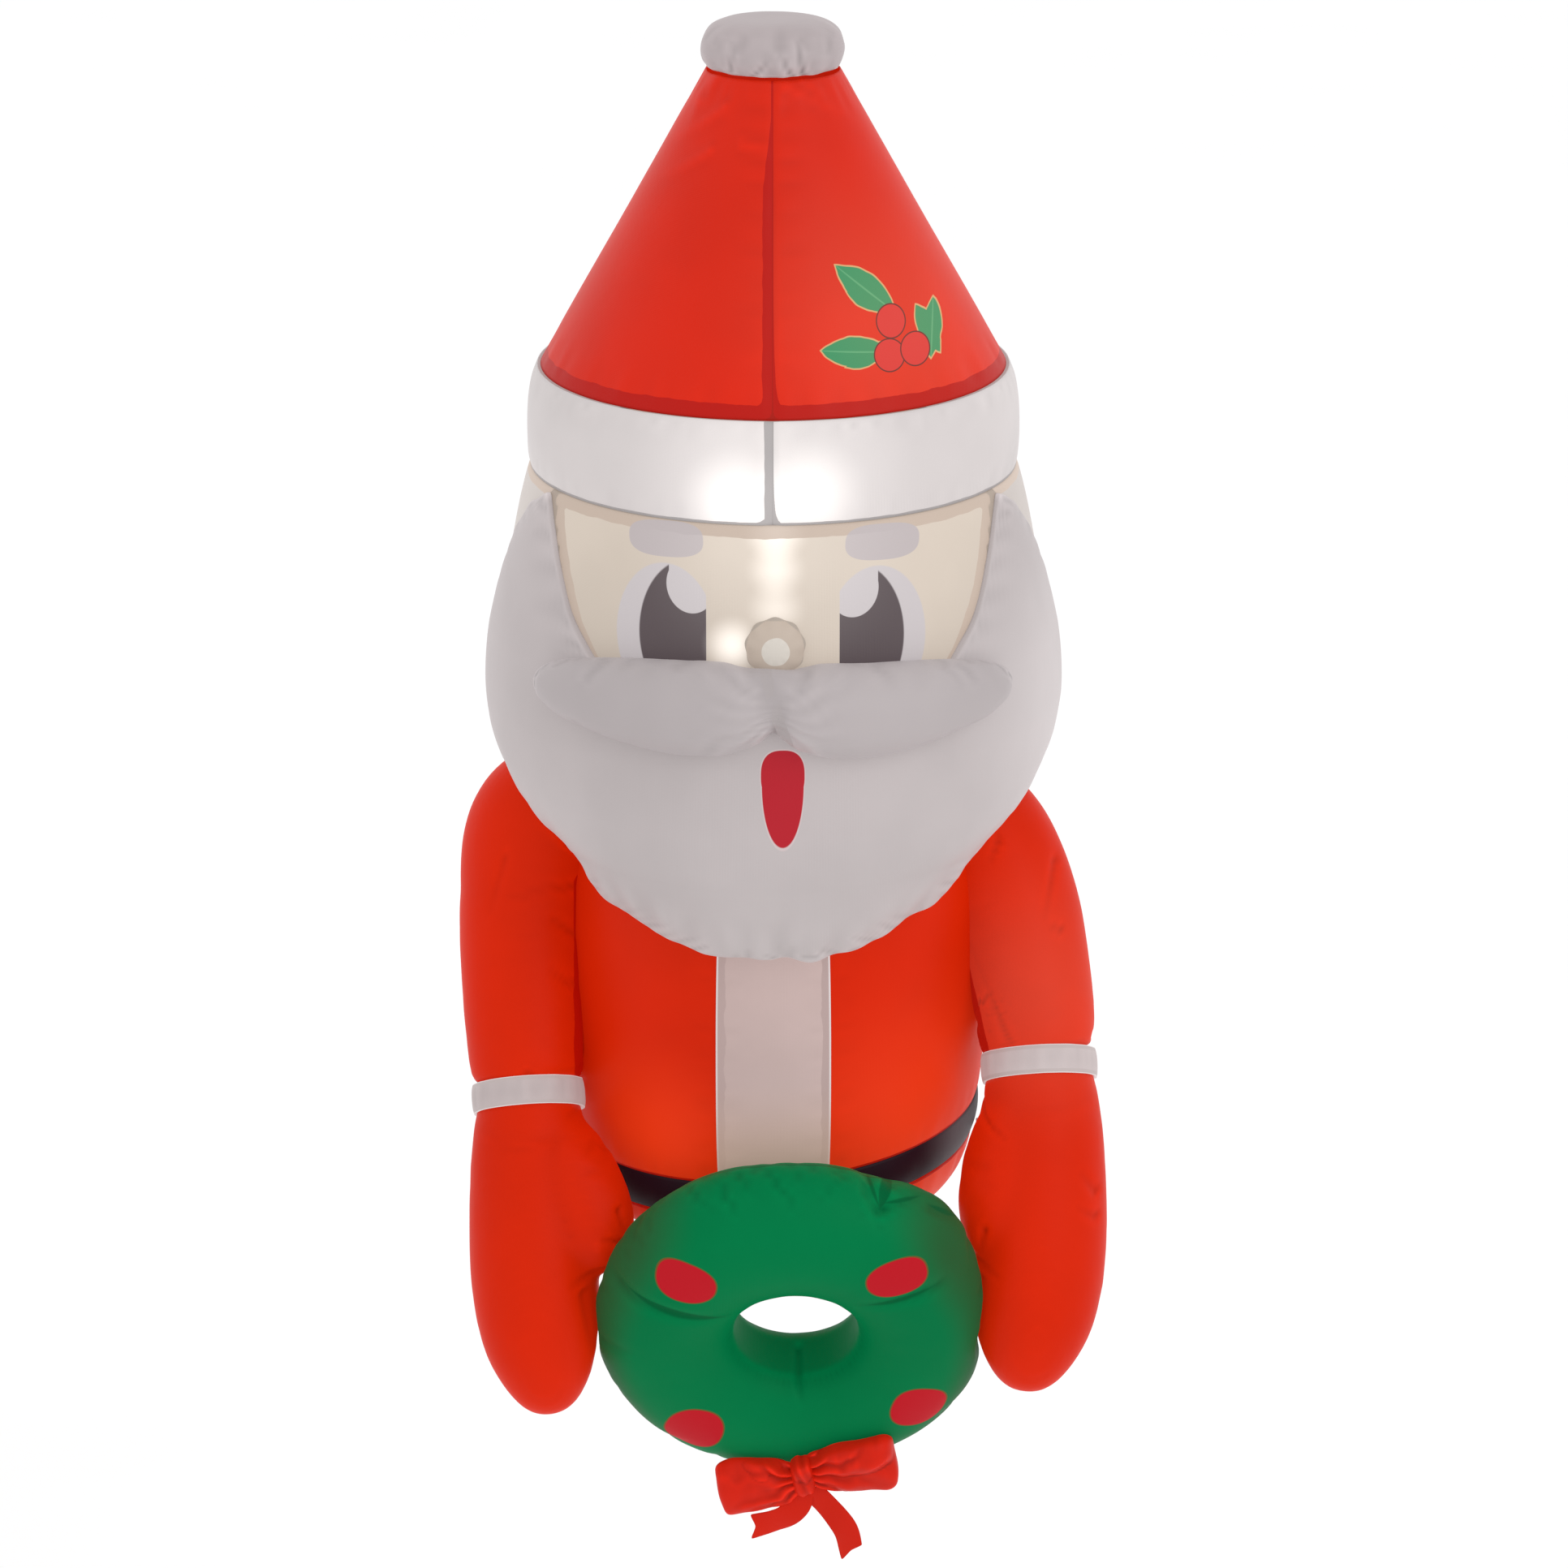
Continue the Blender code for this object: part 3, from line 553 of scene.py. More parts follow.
def polyester(name, colour, allowance=None, lit=0.45, marks=None, lights=(), mottle=0.06, width=1.0,
              ragged=0.35, gloss=0.06, edge_line=None):
    """Thin woven polyester lit from inside, darker where the seam's spare cloth lies double; painted shade
    makes it darker in the hollows of its folds and a painted highlight makes it lighter on its raised folds.
    """
    s = Shader(name, roughness=0.46, specular=gloss)
    s.weave()
    tint = s.step(s.noise(7.0, 3.0), 0.3, 0.7, (1.0 - mottle, 1.0 + mottle))
    # Painted shade and highlight: the colour is darkened where the fold attribute says the cloth is hollow
    # and lightened where it is raised.
    shade = s.scaled(colour, s.times(tint, s.math("MULTIPLY_ADD", s.attribute("fold"), -0.45, 1.0)))
    band = None
    if allowance is not None:
        edge = s.attribute("seam")
        wavy = s.math("MULTIPLY_ADD", s.noise(60.0), ragged, edge)
        band = s.step(wavy, width - 0.02 + ragged / 2, width + 0.02 + ragged / 2, (1.0, 0.0))
        shade = s.mix(shade, allowance, band, 0.9)
        line = s.step(edge, *((0.16, 0.24) if edge_line else (0.03, 0.10)), (1.0, 0.0))
        shade = s.mix(shade, edge_line or tuple(c * 0.45 for c in colour), line, 0.5)
    if marks is not None:
        shade = marks(s, shade)
    light = None
    for centre, reach, strength, hue in lights:
        light = s.added(s.scaled(hue, s.glow(centre, reach, strength)), light)
    if light is not None and band is not None:
        light = s.scaled(light, s.math("MULTIPLY_ADD", band, -0.8, 1.0))
    return s.finish(shade, lit, light)


def make_camera():
    camera = add_object("camera", bpy.data.cameras.new("camera"))
    camera.location = (CAMERA_SIDE, AXIS.y - CAMERA_BACK, CAMERA_HEIGHT)
    camera.rotation_euler = (math.radians(90 - CAMERA_PITCH), 0.0, 0.0)
    camera.data.lens = CAMERA_LENS
    bpy.context.scene.camera = camera


def make_studio():
    """White surroundings, a pale floor well below, and a soft light from the front right."""
    white = (1.0, 1.0, 1.0)
    world = bpy.data.worlds.new("studio")
    bpy.context.scene.world = world
    world.use_nodes = True
    surroundings = world.node_tree.nodes["Background"].inputs
    surroundings["Color"].default_value = (*white, 1.0)
    surroundings["Strength"].default_value = 1.0
    bpy.context.scene.view_settings.view_transform = "Standard"
    bm = bmesh.new()
    bmesh.ops.create_circle(bm, cap_ends=True, segments=96, radius=30.0)
    shift(bm, (0, 0, -0.85))
    floor = finish_mesh(bm, "floor", outward=False)
    s = Shader("pale_floor", roughness=0.9, specular=0.0)
    grain = s.step(s.noise(3.0), 0.3, 0.7, (0.975, 0.985))
    s.feed(s.surface["Base Color"], s.scaled(white, grain))
    s.feed(s.surface["Emission Color"], white)
    s.feed(s.surface["Emission Strength"], 0.025)
    floor.data.materials.append(s.material)
    lamp = add_object("soft_light", bpy.data.lights.new("soft_light", "AREA"))
    lamp.data.energy = 14.0
    lamp.data.size = 1.6
    lamp.location = (1.5, -2.0, 1.6)
    lamp.rotation_euler = (Vector((1.5, -1.75, 1.3))).to_track_quat("Z", "Y").to_euler()


def angle_of(point):
    """Degrees round the upright axis from the front, positive to the right."""
    return math.degrees(math.atan2(point.x - AXIS.x, AXIS.y - point.y))


def arc_of(point, radius):
    """Metres round the upright axis from the front, on a circle of that radius."""
    return math.radians(angle_of(point)) * radius


def off_axis(point):
    """Level line from the upright axis to a point."""
    return Vector((point.x, point.y - AXIS.y, 0.0))


def near_ends(low, high, reach):
    """Holds a skin at its lowest and highest rings."""
    return lambda point: min(point.z - low, high - point.z) < reach


def near_rings(*rings):
    """Slack that fades away from rings, which are given as (height, reach)."""
    def slack(point):
        return max(max(0.0, 1.0 - abs(point.z - height) / reach) for height, reach in rings)
    return slack


def off_line(spot, start, end):
    """How far a flat point lies from a line, and its share of the way along it."""
    run = Vector(end) - Vector(start)
    off = Vector(spot) - Vector(start)
    share = clamp(off.dot(run) / run.length_squared)
    return (off - run * share).length, share


def crease(piece, chart, lines):
    """Presses folds into a skin; each line is start, end, depth and width on the piece's chart."""
    def rise(p):
        spot = chart(p)
        total = 0.0
        for start, end, depth, width in lines if spot is not None else ():
            gap, share = off_line(spot, start, end)
            total -= depth * (1.0 - 0.75 * share) * math.exp(-(gap / width) ** 2)
        return total

    push_out(piece, rise)


def on_front(point):
    return (point.x, point.z) if point.y < AXIS.y else None


def across_and_up(point):
    return (point.x, point.z)


# Folds as start, end, depth and width, seen from the front
POMPOM_CREASES = (
    ((0.020, 0.810), (0.017, 0.832), 0.0016, 0.0018),
    ((0.012, 0.810), (0.006, 0.824), 0.0014, 0.0018),
    ((-0.012, 0.810), (-0.004, 0.820), 0.0012, 0.0018),
    ((-0.028, 0.812), (-0.026, 0.830), 0.0010, 0.0018))


def make_pompom(white):
    """A squat white puff, gathered into the tip of the hat."""
    top, bottom, radius = 0.8385, HAT_TOP, 0.0468
    bm = round_block(22)
    for vert in bm.verts:
        x, y, z = vert.co
        flat = math.hypot(x, y)
        power = 4.4 if z > 0 else 7.0
        size = (flat ** power + abs(z) ** power) ** (-1 / power)
        pinch = 1.0 - 0.04 * min(0.0, z) ** 2 + 0.035 * waves(vert.co, 0.9, 2.0)
        height = (top + bottom) / 2 + z * size * (top - bottom) / 2
        vert.co = Vector((AXIS.x + x * size * radius * pinch, AXIS.y + y * size * radius * pinch, height))
    piece = finish_mesh(bm, "pompom")
    blow_up(piece, lambda p: p.z < bottom + 0.0030, growth=0.02, cap=0.0030,
            slack=near_rings((bottom, 0.012)), extra=0.02)
    yield
    soften(piece, 5, lambda p: p.z > bottom + 0.0030)

    def gathers(p):
        angle = math.atan2(p.y - AXIS.y, p.x)
        rise = (p.z - bottom) / (top - bottom)
        fade = max(0.0, 1.0 - rise / 0.75) * min(1.0, rise * 12)
        wave = math.sin(13 * angle + 2.2 * waves(p, 0.03)) * 0.5 + waves(p, 0.022, 5.0) * 0.6
        return 0.0010 * wave * fade

    push_out(piece, gathers)
    crease(piece, on_front, POMPOM_CREASES)
    seam_distance(piece, lambda p: (p.z - bottom) / 0.006)
    sew(piece, white, "hat_pompom", "white_polyester")


def pleats(piece, seams, depth=0.0006, reach=0.022, size=0.010):
    """Short creases that run away from a gathered seam; seams gives (distance, place along it)."""
    def rise(p):
        total = 0.0
        for distance, along, sign in seams(p):
            if 0.0 <= distance <= reach:
                fade = math.sin(math.pi * distance / reach) * (1.0 - distance / reach)
                total += depth * 2.4 * noise.noise(Vector((along / size, distance / 0.05, sign * 3.1))) * fade
        return total

    push_out(piece, rise)


def front_seam(piece, depth):
    """The seam that runs up the middle of the front draws the cloth in."""
    push_out(piece, lambda p: -depth * math.exp(-(p.x / 0.0022) ** 2) if p.y < AXIS.y else 0.0)


def left_of_middle(p, wide):
    """Seam distance in the strip of double cloth on the left of the front seam."""
    return abs(p.x / wide) if p.x <= 0.0003 and p.y < AXIS.y else NO_SEAM


HAT_CREASES = (((-0.0352, 0.8080), (-0.0514, 0.7906)), ((-0.0314, 0.7891), (-0.0615, 0.7679)),
               ((-0.0476, 0.7916), (-0.0534, 0.7786)), ((-0.0408, 0.7631), (-0.0683, 0.7455)),
               ((-0.0202, 0.7702), (-0.0023, 0.7669)), ((0.0077, 0.8040), (0.0438, 0.7862)),
               ((0.0183, 0.8063), (0.0347, 0.7965)))


def make_hat(red):
    piece = spin_skin("hat", HAT_PROFILE)
    blow_up(piece, near_ends(HAT_BOTTOM, HAT_TOP, 0.0006), growth=-0.002, cap=0.0035, bend=0.03,
            slack=near_rings((HAT_TOP, 0.045), (HAT_BOTTOM, 0.012)))
    yield

    def seams(p):
        arc = arc_of(p, 0.12)
        return ((HAT_TOP - p.z, arc * 0.5, 1.0), (p.z - HAT_BOTTOM, arc, 2.0), (abs(p.x), p.z, 3.0))

    pleats(piece, seams, depth=0.0007, reach=0.030)
    crease(piece, on_front, [(start, end, -0.0013, 0.0030) for start, end in HAT_CREASES])
    front_seam(piece, 0.0009)

    def measure(p):
        bottom = (p.z - HAT_BOTTOM) / 0.0090
        wide = 0.0012 + 0.0056 * clamp((0.785 - p.z) / 0.045)
        return min(bottom, left_of_middle(p, wide))

    seam_distance(piece, measure)
    sew(piece, red, "hat_cone", "red_polyester", thick=SKIN)


def make_brim(white):
    piece = spin_skin("brim", BRIM_PROFILE, spacing=0.0045)
    blow_up(piece, near_ends(BRIM_BOTTOM, HAT_BOTTOM, 0.0006), growth=0.002, cap=0.0022, bend=0.03,
            slack=near_rings((HAT_BOTTOM, 0.02), (BRIM_BOTTOM, 0.02)), extra=0.03)
    yield

    def seams(p):
        arc = arc_of(p, 0.16)
        return ((HAT_BOTTOM - p.z, arc, 4.0), (p.z - BRIM_BOTTOM, arc, 5.0), (abs(p.x), p.z, 6.0))

    pleats(piece, seams, depth=0.0005, reach=0.020)
    front_seam(piece, 0.0012)
    seam_distance(piece, lambda p: min(left_of_middle(p, 0.0056), 0.55 + (p.z - BRIM_BOTTOM) / 0.004))
    sew(piece, white, "hat_brim", "white_polyester", thick=SKIN)


def face_plane(point):
    """How far a point lies in front of the leaning plane that parts the face from the head."""
    seam_y = AXIS.y - FACE_DEPTH - FACE_SLOPE * (FACE_TOP - point.z)
    return (seam_y - point.y) / math.hypot(1.0, FACE_SLOPE)


def make_head(beige, pale):
    skin = spin_skin("head_skin", HEAD_PROFILE)
    blow_up(skin, near_ends(COAT_TOP, BRIM_BOTTOM, 0.0006), growth=0.003, cap=0.0025)
    yield
    plane_point = Vector((0.0, AXIS.y - FACE_DEPTH, FACE_TOP))
    plane_normal = Vector((0.0, -1.0, -FACE_SLOPE)).normalized()
    made = []
    for name, front in (("face_skin", True), ("head_skin_back", False)):
        bm = opened(skin)
        bmesh.ops.bisect_plane(bm, geom=bm.verts[:] + bm.edges[:] + bm.faces[:], dist=0.00005,
                               plane_co=plane_point, plane_no=plane_normal,
                               clear_inner=front, clear_outer=not front)
        made.append(finish_mesh(bm, name, outward=False))
    bpy.data.objects.remove(skin, do_unlink=True)
    face, back = made
    for piece in made:
        push_out(piece, lambda p: -0.0008 * math.exp(-(face_plane(p) / 0.002) ** 2))
    seam_distance(face, lambda p: min((BRIM_BOTTOM - p.z) / 0.0080, max(0.0, face_plane(p)) / 0.0076))
    seam_distance(back, lambda p: min((BRIM_BOTTOM - p.z) / 0.006, abs(face_plane(p)) / 0.0062))
    sew(face, beige, "face", "beige_polyester", thick=SKIN)
    sew(back, pale, "head_back", "white_polyester", thick=SKIN)


def body_radius(height):
    """Radius of the coat or head at a height."""
    return between([(z, r) for r, z in COAT_PROFILE + HEAD_PROFILE[1:]], height)


def beard_radius(angle, height, share):
    """Outer radius of the beard: a thin edge on head or coat, and a pillow swell between."""
    body = body_radius(height)
    front = max(0.0, math.cos(math.radians(angle)))
    crest = between(BEARD_CREST, height) + 0.008 * front - 0.0015
    fullness = math.sin(math.pi * min(1.0, 0.045 + 0.92 * share)) ** 0.45
    edge = body + 0.003
    low_edge = edge + 0.020 * front
    base = low_edge + (edge - low_edge) * min(1.0, share * 1.5)
    return base + max(0.0, crest - base) * fullness


def make_beard(white):
    """A wide pillow bent round the chin, gathered along its lower edge."""
    columns, rows = 150, 56
    bm = bmesh.new()
    bmesh.ops.create_grid(bm, x_segments=columns, y_segments=rows, size=1.0)
    layer = bm.verts.layers.float.new("seam")
    hem = bm.verts.layers.float.new("held")
    for vert in bm.verts:
        angle = vert.co.x * BEARD_REACH
        share = (vert.co.y + 1) / 2
        ripple = math.cos(math.radians(angle * 14)) - 0.5 * abs(math.sin(math.radians(angle * 11 + 20)))
        scallop = 0.0022 * ripple + 0.0042 * noise.noise(Vector((angle / 6.0, 0.4, 0.0)))
        low = between(BEARD_LOW, abs(angle)) + scallop
        high = between(BEARD_HIGH, abs(angle)) + 0.0012 * noise.noise(Vector((angle / 4.0, 7.0, 0.0)))
        height = low + (high - low) * share
        radius = beard_radius(angle, height, share)
        vert[layer] = min(share * (high - low), (1 - abs(vert.co.x)) * 0.30) / 0.006
        vert[hem] = 1.0 if share in (0.0, 1.0) or abs(vert.co.x) > 0.999 else 0.0
        around = math.radians(angle)
        vert.co = Vector((radius * math.sin(around), AXIS.y - radius * math.cos(around), height))
    face_outward(bm, on_axis)
    piece = finish_mesh(bm, "beard_pad", outward=False)
    held = piece.data.attributes["held"].data
    lookup = {v.co.to_tuple(6): held[v.index].value for v in piece.data.vertices}
    blow_up(piece, lambda p: lookup.get(p.to_tuple(6), 0.0) > 0.5, growth=0.010, cap=0.0045, bend=0.03,
            slack=lambda p: max(0.0, 1.0 - (p.z - between(BEARD_LOW, abs(angle_of(p)))) / 0.045), extra=0.08)
    yield
    reach = 0.045

    def puckers(p):
        low, high = between(BEARD_LOW, abs(angle_of(p))), between(BEARD_HIGH, abs(angle_of(p)))
        away = max(0.0, min(p.z - low, reach))
        fade = math.sin(math.pi * away / reach) * (1.0 - away / reach)
        top = max(0.0, 1.0 - (high - p.z) / 0.020) * 0.3
        return 0.0034 * noise.noise(Vector((angle_of(p) / 5.0, away / 0.06, 2.0))) * max(fade, top)

    push_out(piece, puckers)
    bm = opened(piece)
    rim = [edge for edge in bm.edges if edge.is_boundary]
    for pull in (0.35, 1.0):                      # the edge turns in to the body in two steps
        ring = bmesh.ops.extrude_edge_only(bm, edges=rim)["geom"]
        rim = [item for item in ring if isinstance(item, bmesh.types.BMEdge)]
        for vert in only_verts(ring):
            out = off_axis(vert.co)
            gap = out.length - body_radius(vert.co.z) - 0.0012
            vert.co -= out.normalized() * max(0.0, gap) * pull
    write_into(piece.data, bm)
    sew(piece, white, "beard", "white_polyester", thick=SKIN)


def moustache_points():
    points = []
    for share, height, radius in MOUSTACHE_LOBES:
        angle = math.radians(share * MOUSTACHE_HALF_ANGLE * 1.04)
        reach = MOUSTACHE_R + 0.012 * (1 - abs(share))
        points.append((reach * math.sin(angle) * 1.13, AXIS.y - reach * math.cos(angle), height - 0.0016,
                       radius + 0.0014))
    return points


def moustache_middle(point):
    """How far a point lies beside the slanted line where the two lobes meet."""
    return point.x - 0.0015 + 0.28 * (point.z - 0.437)


def make_moustache(white):
    bm = bolster(moustache_points(), 40, blunt=2.6)
    for vert in bm.verts:
        vert.co.y += 0.007 * math.exp(-(moustache_middle(vert.co) / 0.006) ** 2)
    piece = finish_mesh(bm, "moustache_pad")
    blow_up(piece, lambda p: p.y > AXIS.y - 0.13 - 0.06 * math.cos(p.x * 9), growth=0.014, cap=0.003)
    yield
    soften(piece, 2)

    def fan(p):
        spread = math.hypot(p.x, 0.002)
        fade = math.exp(-((spread - 0.022) / 0.026) ** 2)
        return 0.0006 * fade * math.sin(15 * math.atan2(p.z - 0.433, spread) + 3 * waves(p, 0.02))

    push_out(piece, fan)
    seam_distance(piece, lambda p: abs(moustache_middle(p)) / 0.004)
    sew(piece, white, "moustache", "white_polyester")


def make_nose(beige):
    """A small puffed disc sewn on the face."""
    centre, radius = Vector((0.0015, -0.4215, 0.4655)), 0.0195
    bm = round_block(16)
    for vert in bm.verts:
        x, y, z = vert.co
        rim = math.hypot(x, z)
        pucker = 1.0 + 0.03 * math.sin(9 * math.atan2(z, x)) * rim
        vert.co = centre + Vector((x * radius * pucker, y * 0.0125, z * radius * pucker))
    turn(bm, math.radians(-6), "X", centre)
    piece = finish_mesh(bm, "nose_pad")
    seam_distance(piece, lambda p: 1.9 - 1.9 * min(1.0, math.hypot(p.x - centre.x, p.z - centre.z) / radius))
    sew(piece, beige, "nose", "beige_polyester")


def slanted(point):
    """How far the belt's slant lifts a point of the lower body."""
    fade = clamp((0.200 - point.z) / 0.120) * clamp(point.z / 0.030)
    return BELT_SLANT * point.x * fade


def make_coat(red, white, black):
    """Upper coat, belt and underside, one above the other, and the strip down the front."""
    coat = spin_skin("coat_skin", COAT_PROFILE)
    blow_up(coat, near_ends(BELT_TOP, COAT_TOP, 0.0006), growth=0.003, cap=0.0035,
            slack=near_rings((BELT_TOP, 0.035), (COAT_TOP, 0.03)), bend=0.03)
    belt = spin_skin("belt_skin", BELT_PROFILE, spacing=0.0045)
    blow_up(belt, near_ends(BELT_BOTTOM, BELT_TOP, 0.0006), growth=0.002, cap=0.0015)
    yield

    def seams(p):
        side = abs(abs(angle_of(p)) - STRIP_HALF_ANGLE) / RADIAN * COAT_R
        return ((p.z - BELT_TOP, arc_of(p, COAT_R), 1.0), (side, p.z, 2.0))

    pleats(coat, seams, depth=0.0006, reach=0.024)
    hem = spin_skin("coat_under", HEM_PROFILE)
    pleats(hem, lambda p: ((BELT_BOTTOM - p.z, arc_of(p, 0.143), 5.0),), depth=0.0010, reach=0.026)
    strip = strip_from(coat)
    for piece in (coat, belt, hem, strip):
        for vert in piece.data.vertices:
            vert.co.z += slanted(vert.co)
        piece.data.update()
    seam_distance(coat, lambda p: 0.4 + (p.z - slanted(p) - BELT_TOP) / 0.003)
    seam_distance(hem, lambda p: 0.4 + (BELT_BOTTOM + slanted(p) - p.z) / 0.005)
    seam_distance(strip, lambda p: (STRIP_HALF_ANGLE - abs(angle_of(p))) / RADIAN * COAT_R / 0.0060)
    for piece, cloth, node, slot in (
            (coat, red, "coat", "red_polyester"), (hem, red, "coat_hem", "red_polyester"),
            (belt, black, "belt", "black_polyester"), (strip, white, "coat_placket", "white_polyester")):
        sew(piece, cloth, node, slot, thick=SKIN)


def strip_from(coat):
    """The white front strip: the coat's own columns there, a little proud."""
    bm = opened(coat)
    away = []
    for face in bm.faces:
        middle = face.calc_center_median()
        if abs(angle_of(middle)) > STRIP_HALF_ANGLE or middle.z > STRIP_TOP + 0.02:
            away.append(face)
    bmesh.ops.delete(bm, geom=away, context="FACES")
    for vert in bm.verts:
        vert.co += off_axis(vert.co).normalized() * 0.0011
    return finish_mesh(bm, "front_strip", outward=False)


SLEEVE_CREASES = {
    "left": (((-0.127, 0.205), (-0.152, 0.229), 0.0022, 0.0028),
             ((-0.128, 0.174), (-0.153, 0.196), 0.0020, 0.0028),
             ((-0.130, 0.246), (-0.160, 0.252), 0.0018, 0.0030),
             ((-0.134, 0.127), (-0.158, 0.134), 0.0012, 0.0026),
             ((-0.186, 0.270), (-0.196, 0.236), 0.0014, 0.0030)),
    "right": (((0.163, 0.152), (0.136, 0.208), 0.0014, 0.0030),
              ((0.196, 0.262), (0.188, 0.232), 0.0018, 0.0032),
              ((0.156, 0.282), (0.150, 0.268), 0.0014, 0.0026),
              ((0.139, 0.148), (0.128, 0.196), 0.0016, 0.0030),
              ((0.1995, 0.222), (0.1900, 0.226), 0.0014, 0.0026)),
}
SLEEVE_SEAM = {"left": ((-0.1330, 0.250), (-0.1325, 0.120)), "right": ((0.1190, 0.235), (0.1440, 0.140))}
MITT_CREASES = {
    "left": (((-0.1235, 0.101), (-0.1408, 0.104), 0.0014, 0.0024),
             ((-0.1034, 0.030), (-0.1163, 0.034), 0.0022, 0.0024),
             ((-0.1062, 0.051), (-0.1023, 0.035), 0.0020, 0.0022),
             ((-0.1300, -0.004), (-0.1240, -0.046), 0.0026, 0.0030),
             ((-0.1107, 0.010), (-0.1369, 0.005), 0.0022, 0.0030),
             ((-0.1250, -0.105), (-0.1480, -0.098), 0.0014, 0.0026)),
    "right": (((0.1446, 0.040), (0.1420, 0.023), 0.0024, 0.0024),
              ((0.1280, 0.018), (0.1520, 0.012), 0.0020, 0.0030),
              ((0.1440, 0.106), (0.1580, 0.098), 0.0014, 0.0024),
              ((0.1420, 0.004), (0.1390, -0.036), 0.0024, 0.0030),
              ((0.2220, 0.060), (0.2120, 0.074), 0.0016, 0.0030),
              ((0.2220, 0.045), (0.2100, 0.054), 0.0014, 0.0030)),
}
LIMB_UP = Vector((0, -1, 0.2))


def make_arm(side, sleeve_line, mitt_line, thumb_line, red, white):
    sleeve = finish_mesh(bolster(sleeve_line, 30, blunt=(6.0, 16.0), up=LIMB_UP), "sleeve_skin_" + side)
    bottom = sleeve_line[-1][2]
    inner = 1 if sleeve_line[-1][0] < 0 else -1
    shoulder = -0.115
    blow_up(sleeve, lambda p: p.z < bottom + 0.006 or inner * p.x > shoulder,
            growth=0.015, cap=0.0035, bend=0.03, extra=0.035,
            slack=lambda p: max(0.0, 1.0 - (p.z - bottom) / 0.05, 1.0 - (shoulder - inner * p.x) / 0.03))
    mitt = make_mitt(side, sleeve_line[-1], mitt_line, thumb_line, red)
    next(mitt)
    yield
    crease(sleeve, across_and_up, SLEEVE_CREASES[side])

    def measure(p):
        return min(0.35 + (p.z - bottom) / 0.006, off_line((p.x, p.z), *SLEEVE_SEAM[side])[0] / 0.0058)

    seam_distance(sleeve, measure)
    sew(sleeve, red, "sleeve_" + side, "red_polyester")
    make_cuff(side, sleeve_line[-1], mitt_line[0], white)
    next(mitt, None)


def make_cuff(side, sleeve_end, mitt_start, white):
    """A short white band between sleeve and mitt."""
    end, start = Vector(sleeve_end[:3]), Vector(mitt_start[:3])
    along = (end - start).normalized()
    centre = (end + start) / 2 - along * 0.0004
    half, radius = 0.0100, sleeve_end[3] + 0.0008
    places = [step / 4 - 1 for step in range(9)]
    bm = spun([(radius - 0.0012 * abs(t) ** 3, 0.0, t * half) for t in places], 96)
    face_outward(bm, lambda p: Vector((0, 0, p.z)))
    for vert in bm.verts:
        angle = math.atan2(vert.co.y, vert.co.x)
        ripple = noise.noise(Vector((math.cos(angle) * 5, math.sin(angle) * 5, vert.co.z * 40)))
        vert.co += Vector((vert.co.x, vert.co.y, 0)).normalized() * 0.0007 * ripple
    turned = along.to_track_quat("Z", "Y").to_matrix()
    bmesh.ops.rotate(bm, verts=bm.verts, cent=(0, 0, 0), matrix=turned)
    shift(bm, centre)
    cuff = finish_mesh(bm, "cuff_band_" + side, outward=False)
    seam_distance(cuff, lambda p: (half - abs((p - centre).dot(along))) / 0.003)
    sew(cuff, white, "cuff_" + side, "white_polyester", thick=0.0030)


def make_mitt(side, sleeve_end, mitt_line, thumb_line, red):
    """Palm and thumb joined by a remesh, then swollen."""
    wrist = Vector(mitt_line[0][:3]).lerp(Vector(sleeve_end[:3]), 0.7)
    line = ((*wrist, mitt_line[0][3] - 0.0022),) + mitt_line
    palm = finish_mesh(bolster(line, 24, blunt=PALM_ENDS, up=LIMB_UP), "palm")
    thumb = finish_mesh(bolster(thumb_line, 16, blunt=THUMB_ENDS, up=LIMB_UP), "thumb")
    piece = finish_mesh(opened(palm, thumb), "mitt_skin_" + side, outward=False)
    for spare in (palm, thumb):
        bpy.data.objects.remove(spare, do_unlink=True)
    joined = piece.modifiers.new("join", "REMESH")
    joined.mode = "VOXEL"
    joined.voxel_size = 0.0034
    shape = piece.evaluated_get(bpy.context.evaluated_depsgraph_get())
    mesh = bpy.data.meshes.new_from_object(shape)
    piece.modifiers.remove(joined)
    piece.data = mesh
    soften(piece, 9)
    top = mitt_line[0][2]
    blow_up(piece, lambda p: p.z > top - 0.004, growth=0.012, cap=0.0035,
            slack=lambda p: max(0.0, 1.0 - (p - Vector(thumb_line[-1][:3])).length / 0.05), extra=0.02)
    yield
    soften(piece, 4)
    crease(piece, across_and_up, MITT_CREASES[side])
    seam_distance(piece)
    sew(piece, red, "mitt_" + side, "red_polyester")


def wreath_place(point):
    """A point in the wreath's own frame: across, up its face, and out of its face."""
    rest = point - WREATH_CENTRE
    up = Vector((0.0, -math.sin(WREATH_TILT), math.cos(WREATH_TILT)))
    out = Vector((0.0, -math.cos(WREATH_TILT), -math.sin(WREATH_TILT)))
    return Vector((rest.x, rest.dot(up), rest.dot(out)))


def wreath_ring(q):
    """Distance of a point in the wreath's frame from the wreath's middle line."""
    return math.hypot(q.x, q.y)


def wreath_seam_gap(point):
    q = wreath_place(point)
    return (Vector((wreath_ring(q), q.z)) - Vector(WREATH_SEAM)).length


def wreath_out(across, up):
    """A move across and up the wreath's face, as seen in the frame."""
    return Vector((across, -up * math.sin(WREATH_TILT), up * math.cos(WREATH_TILT)))


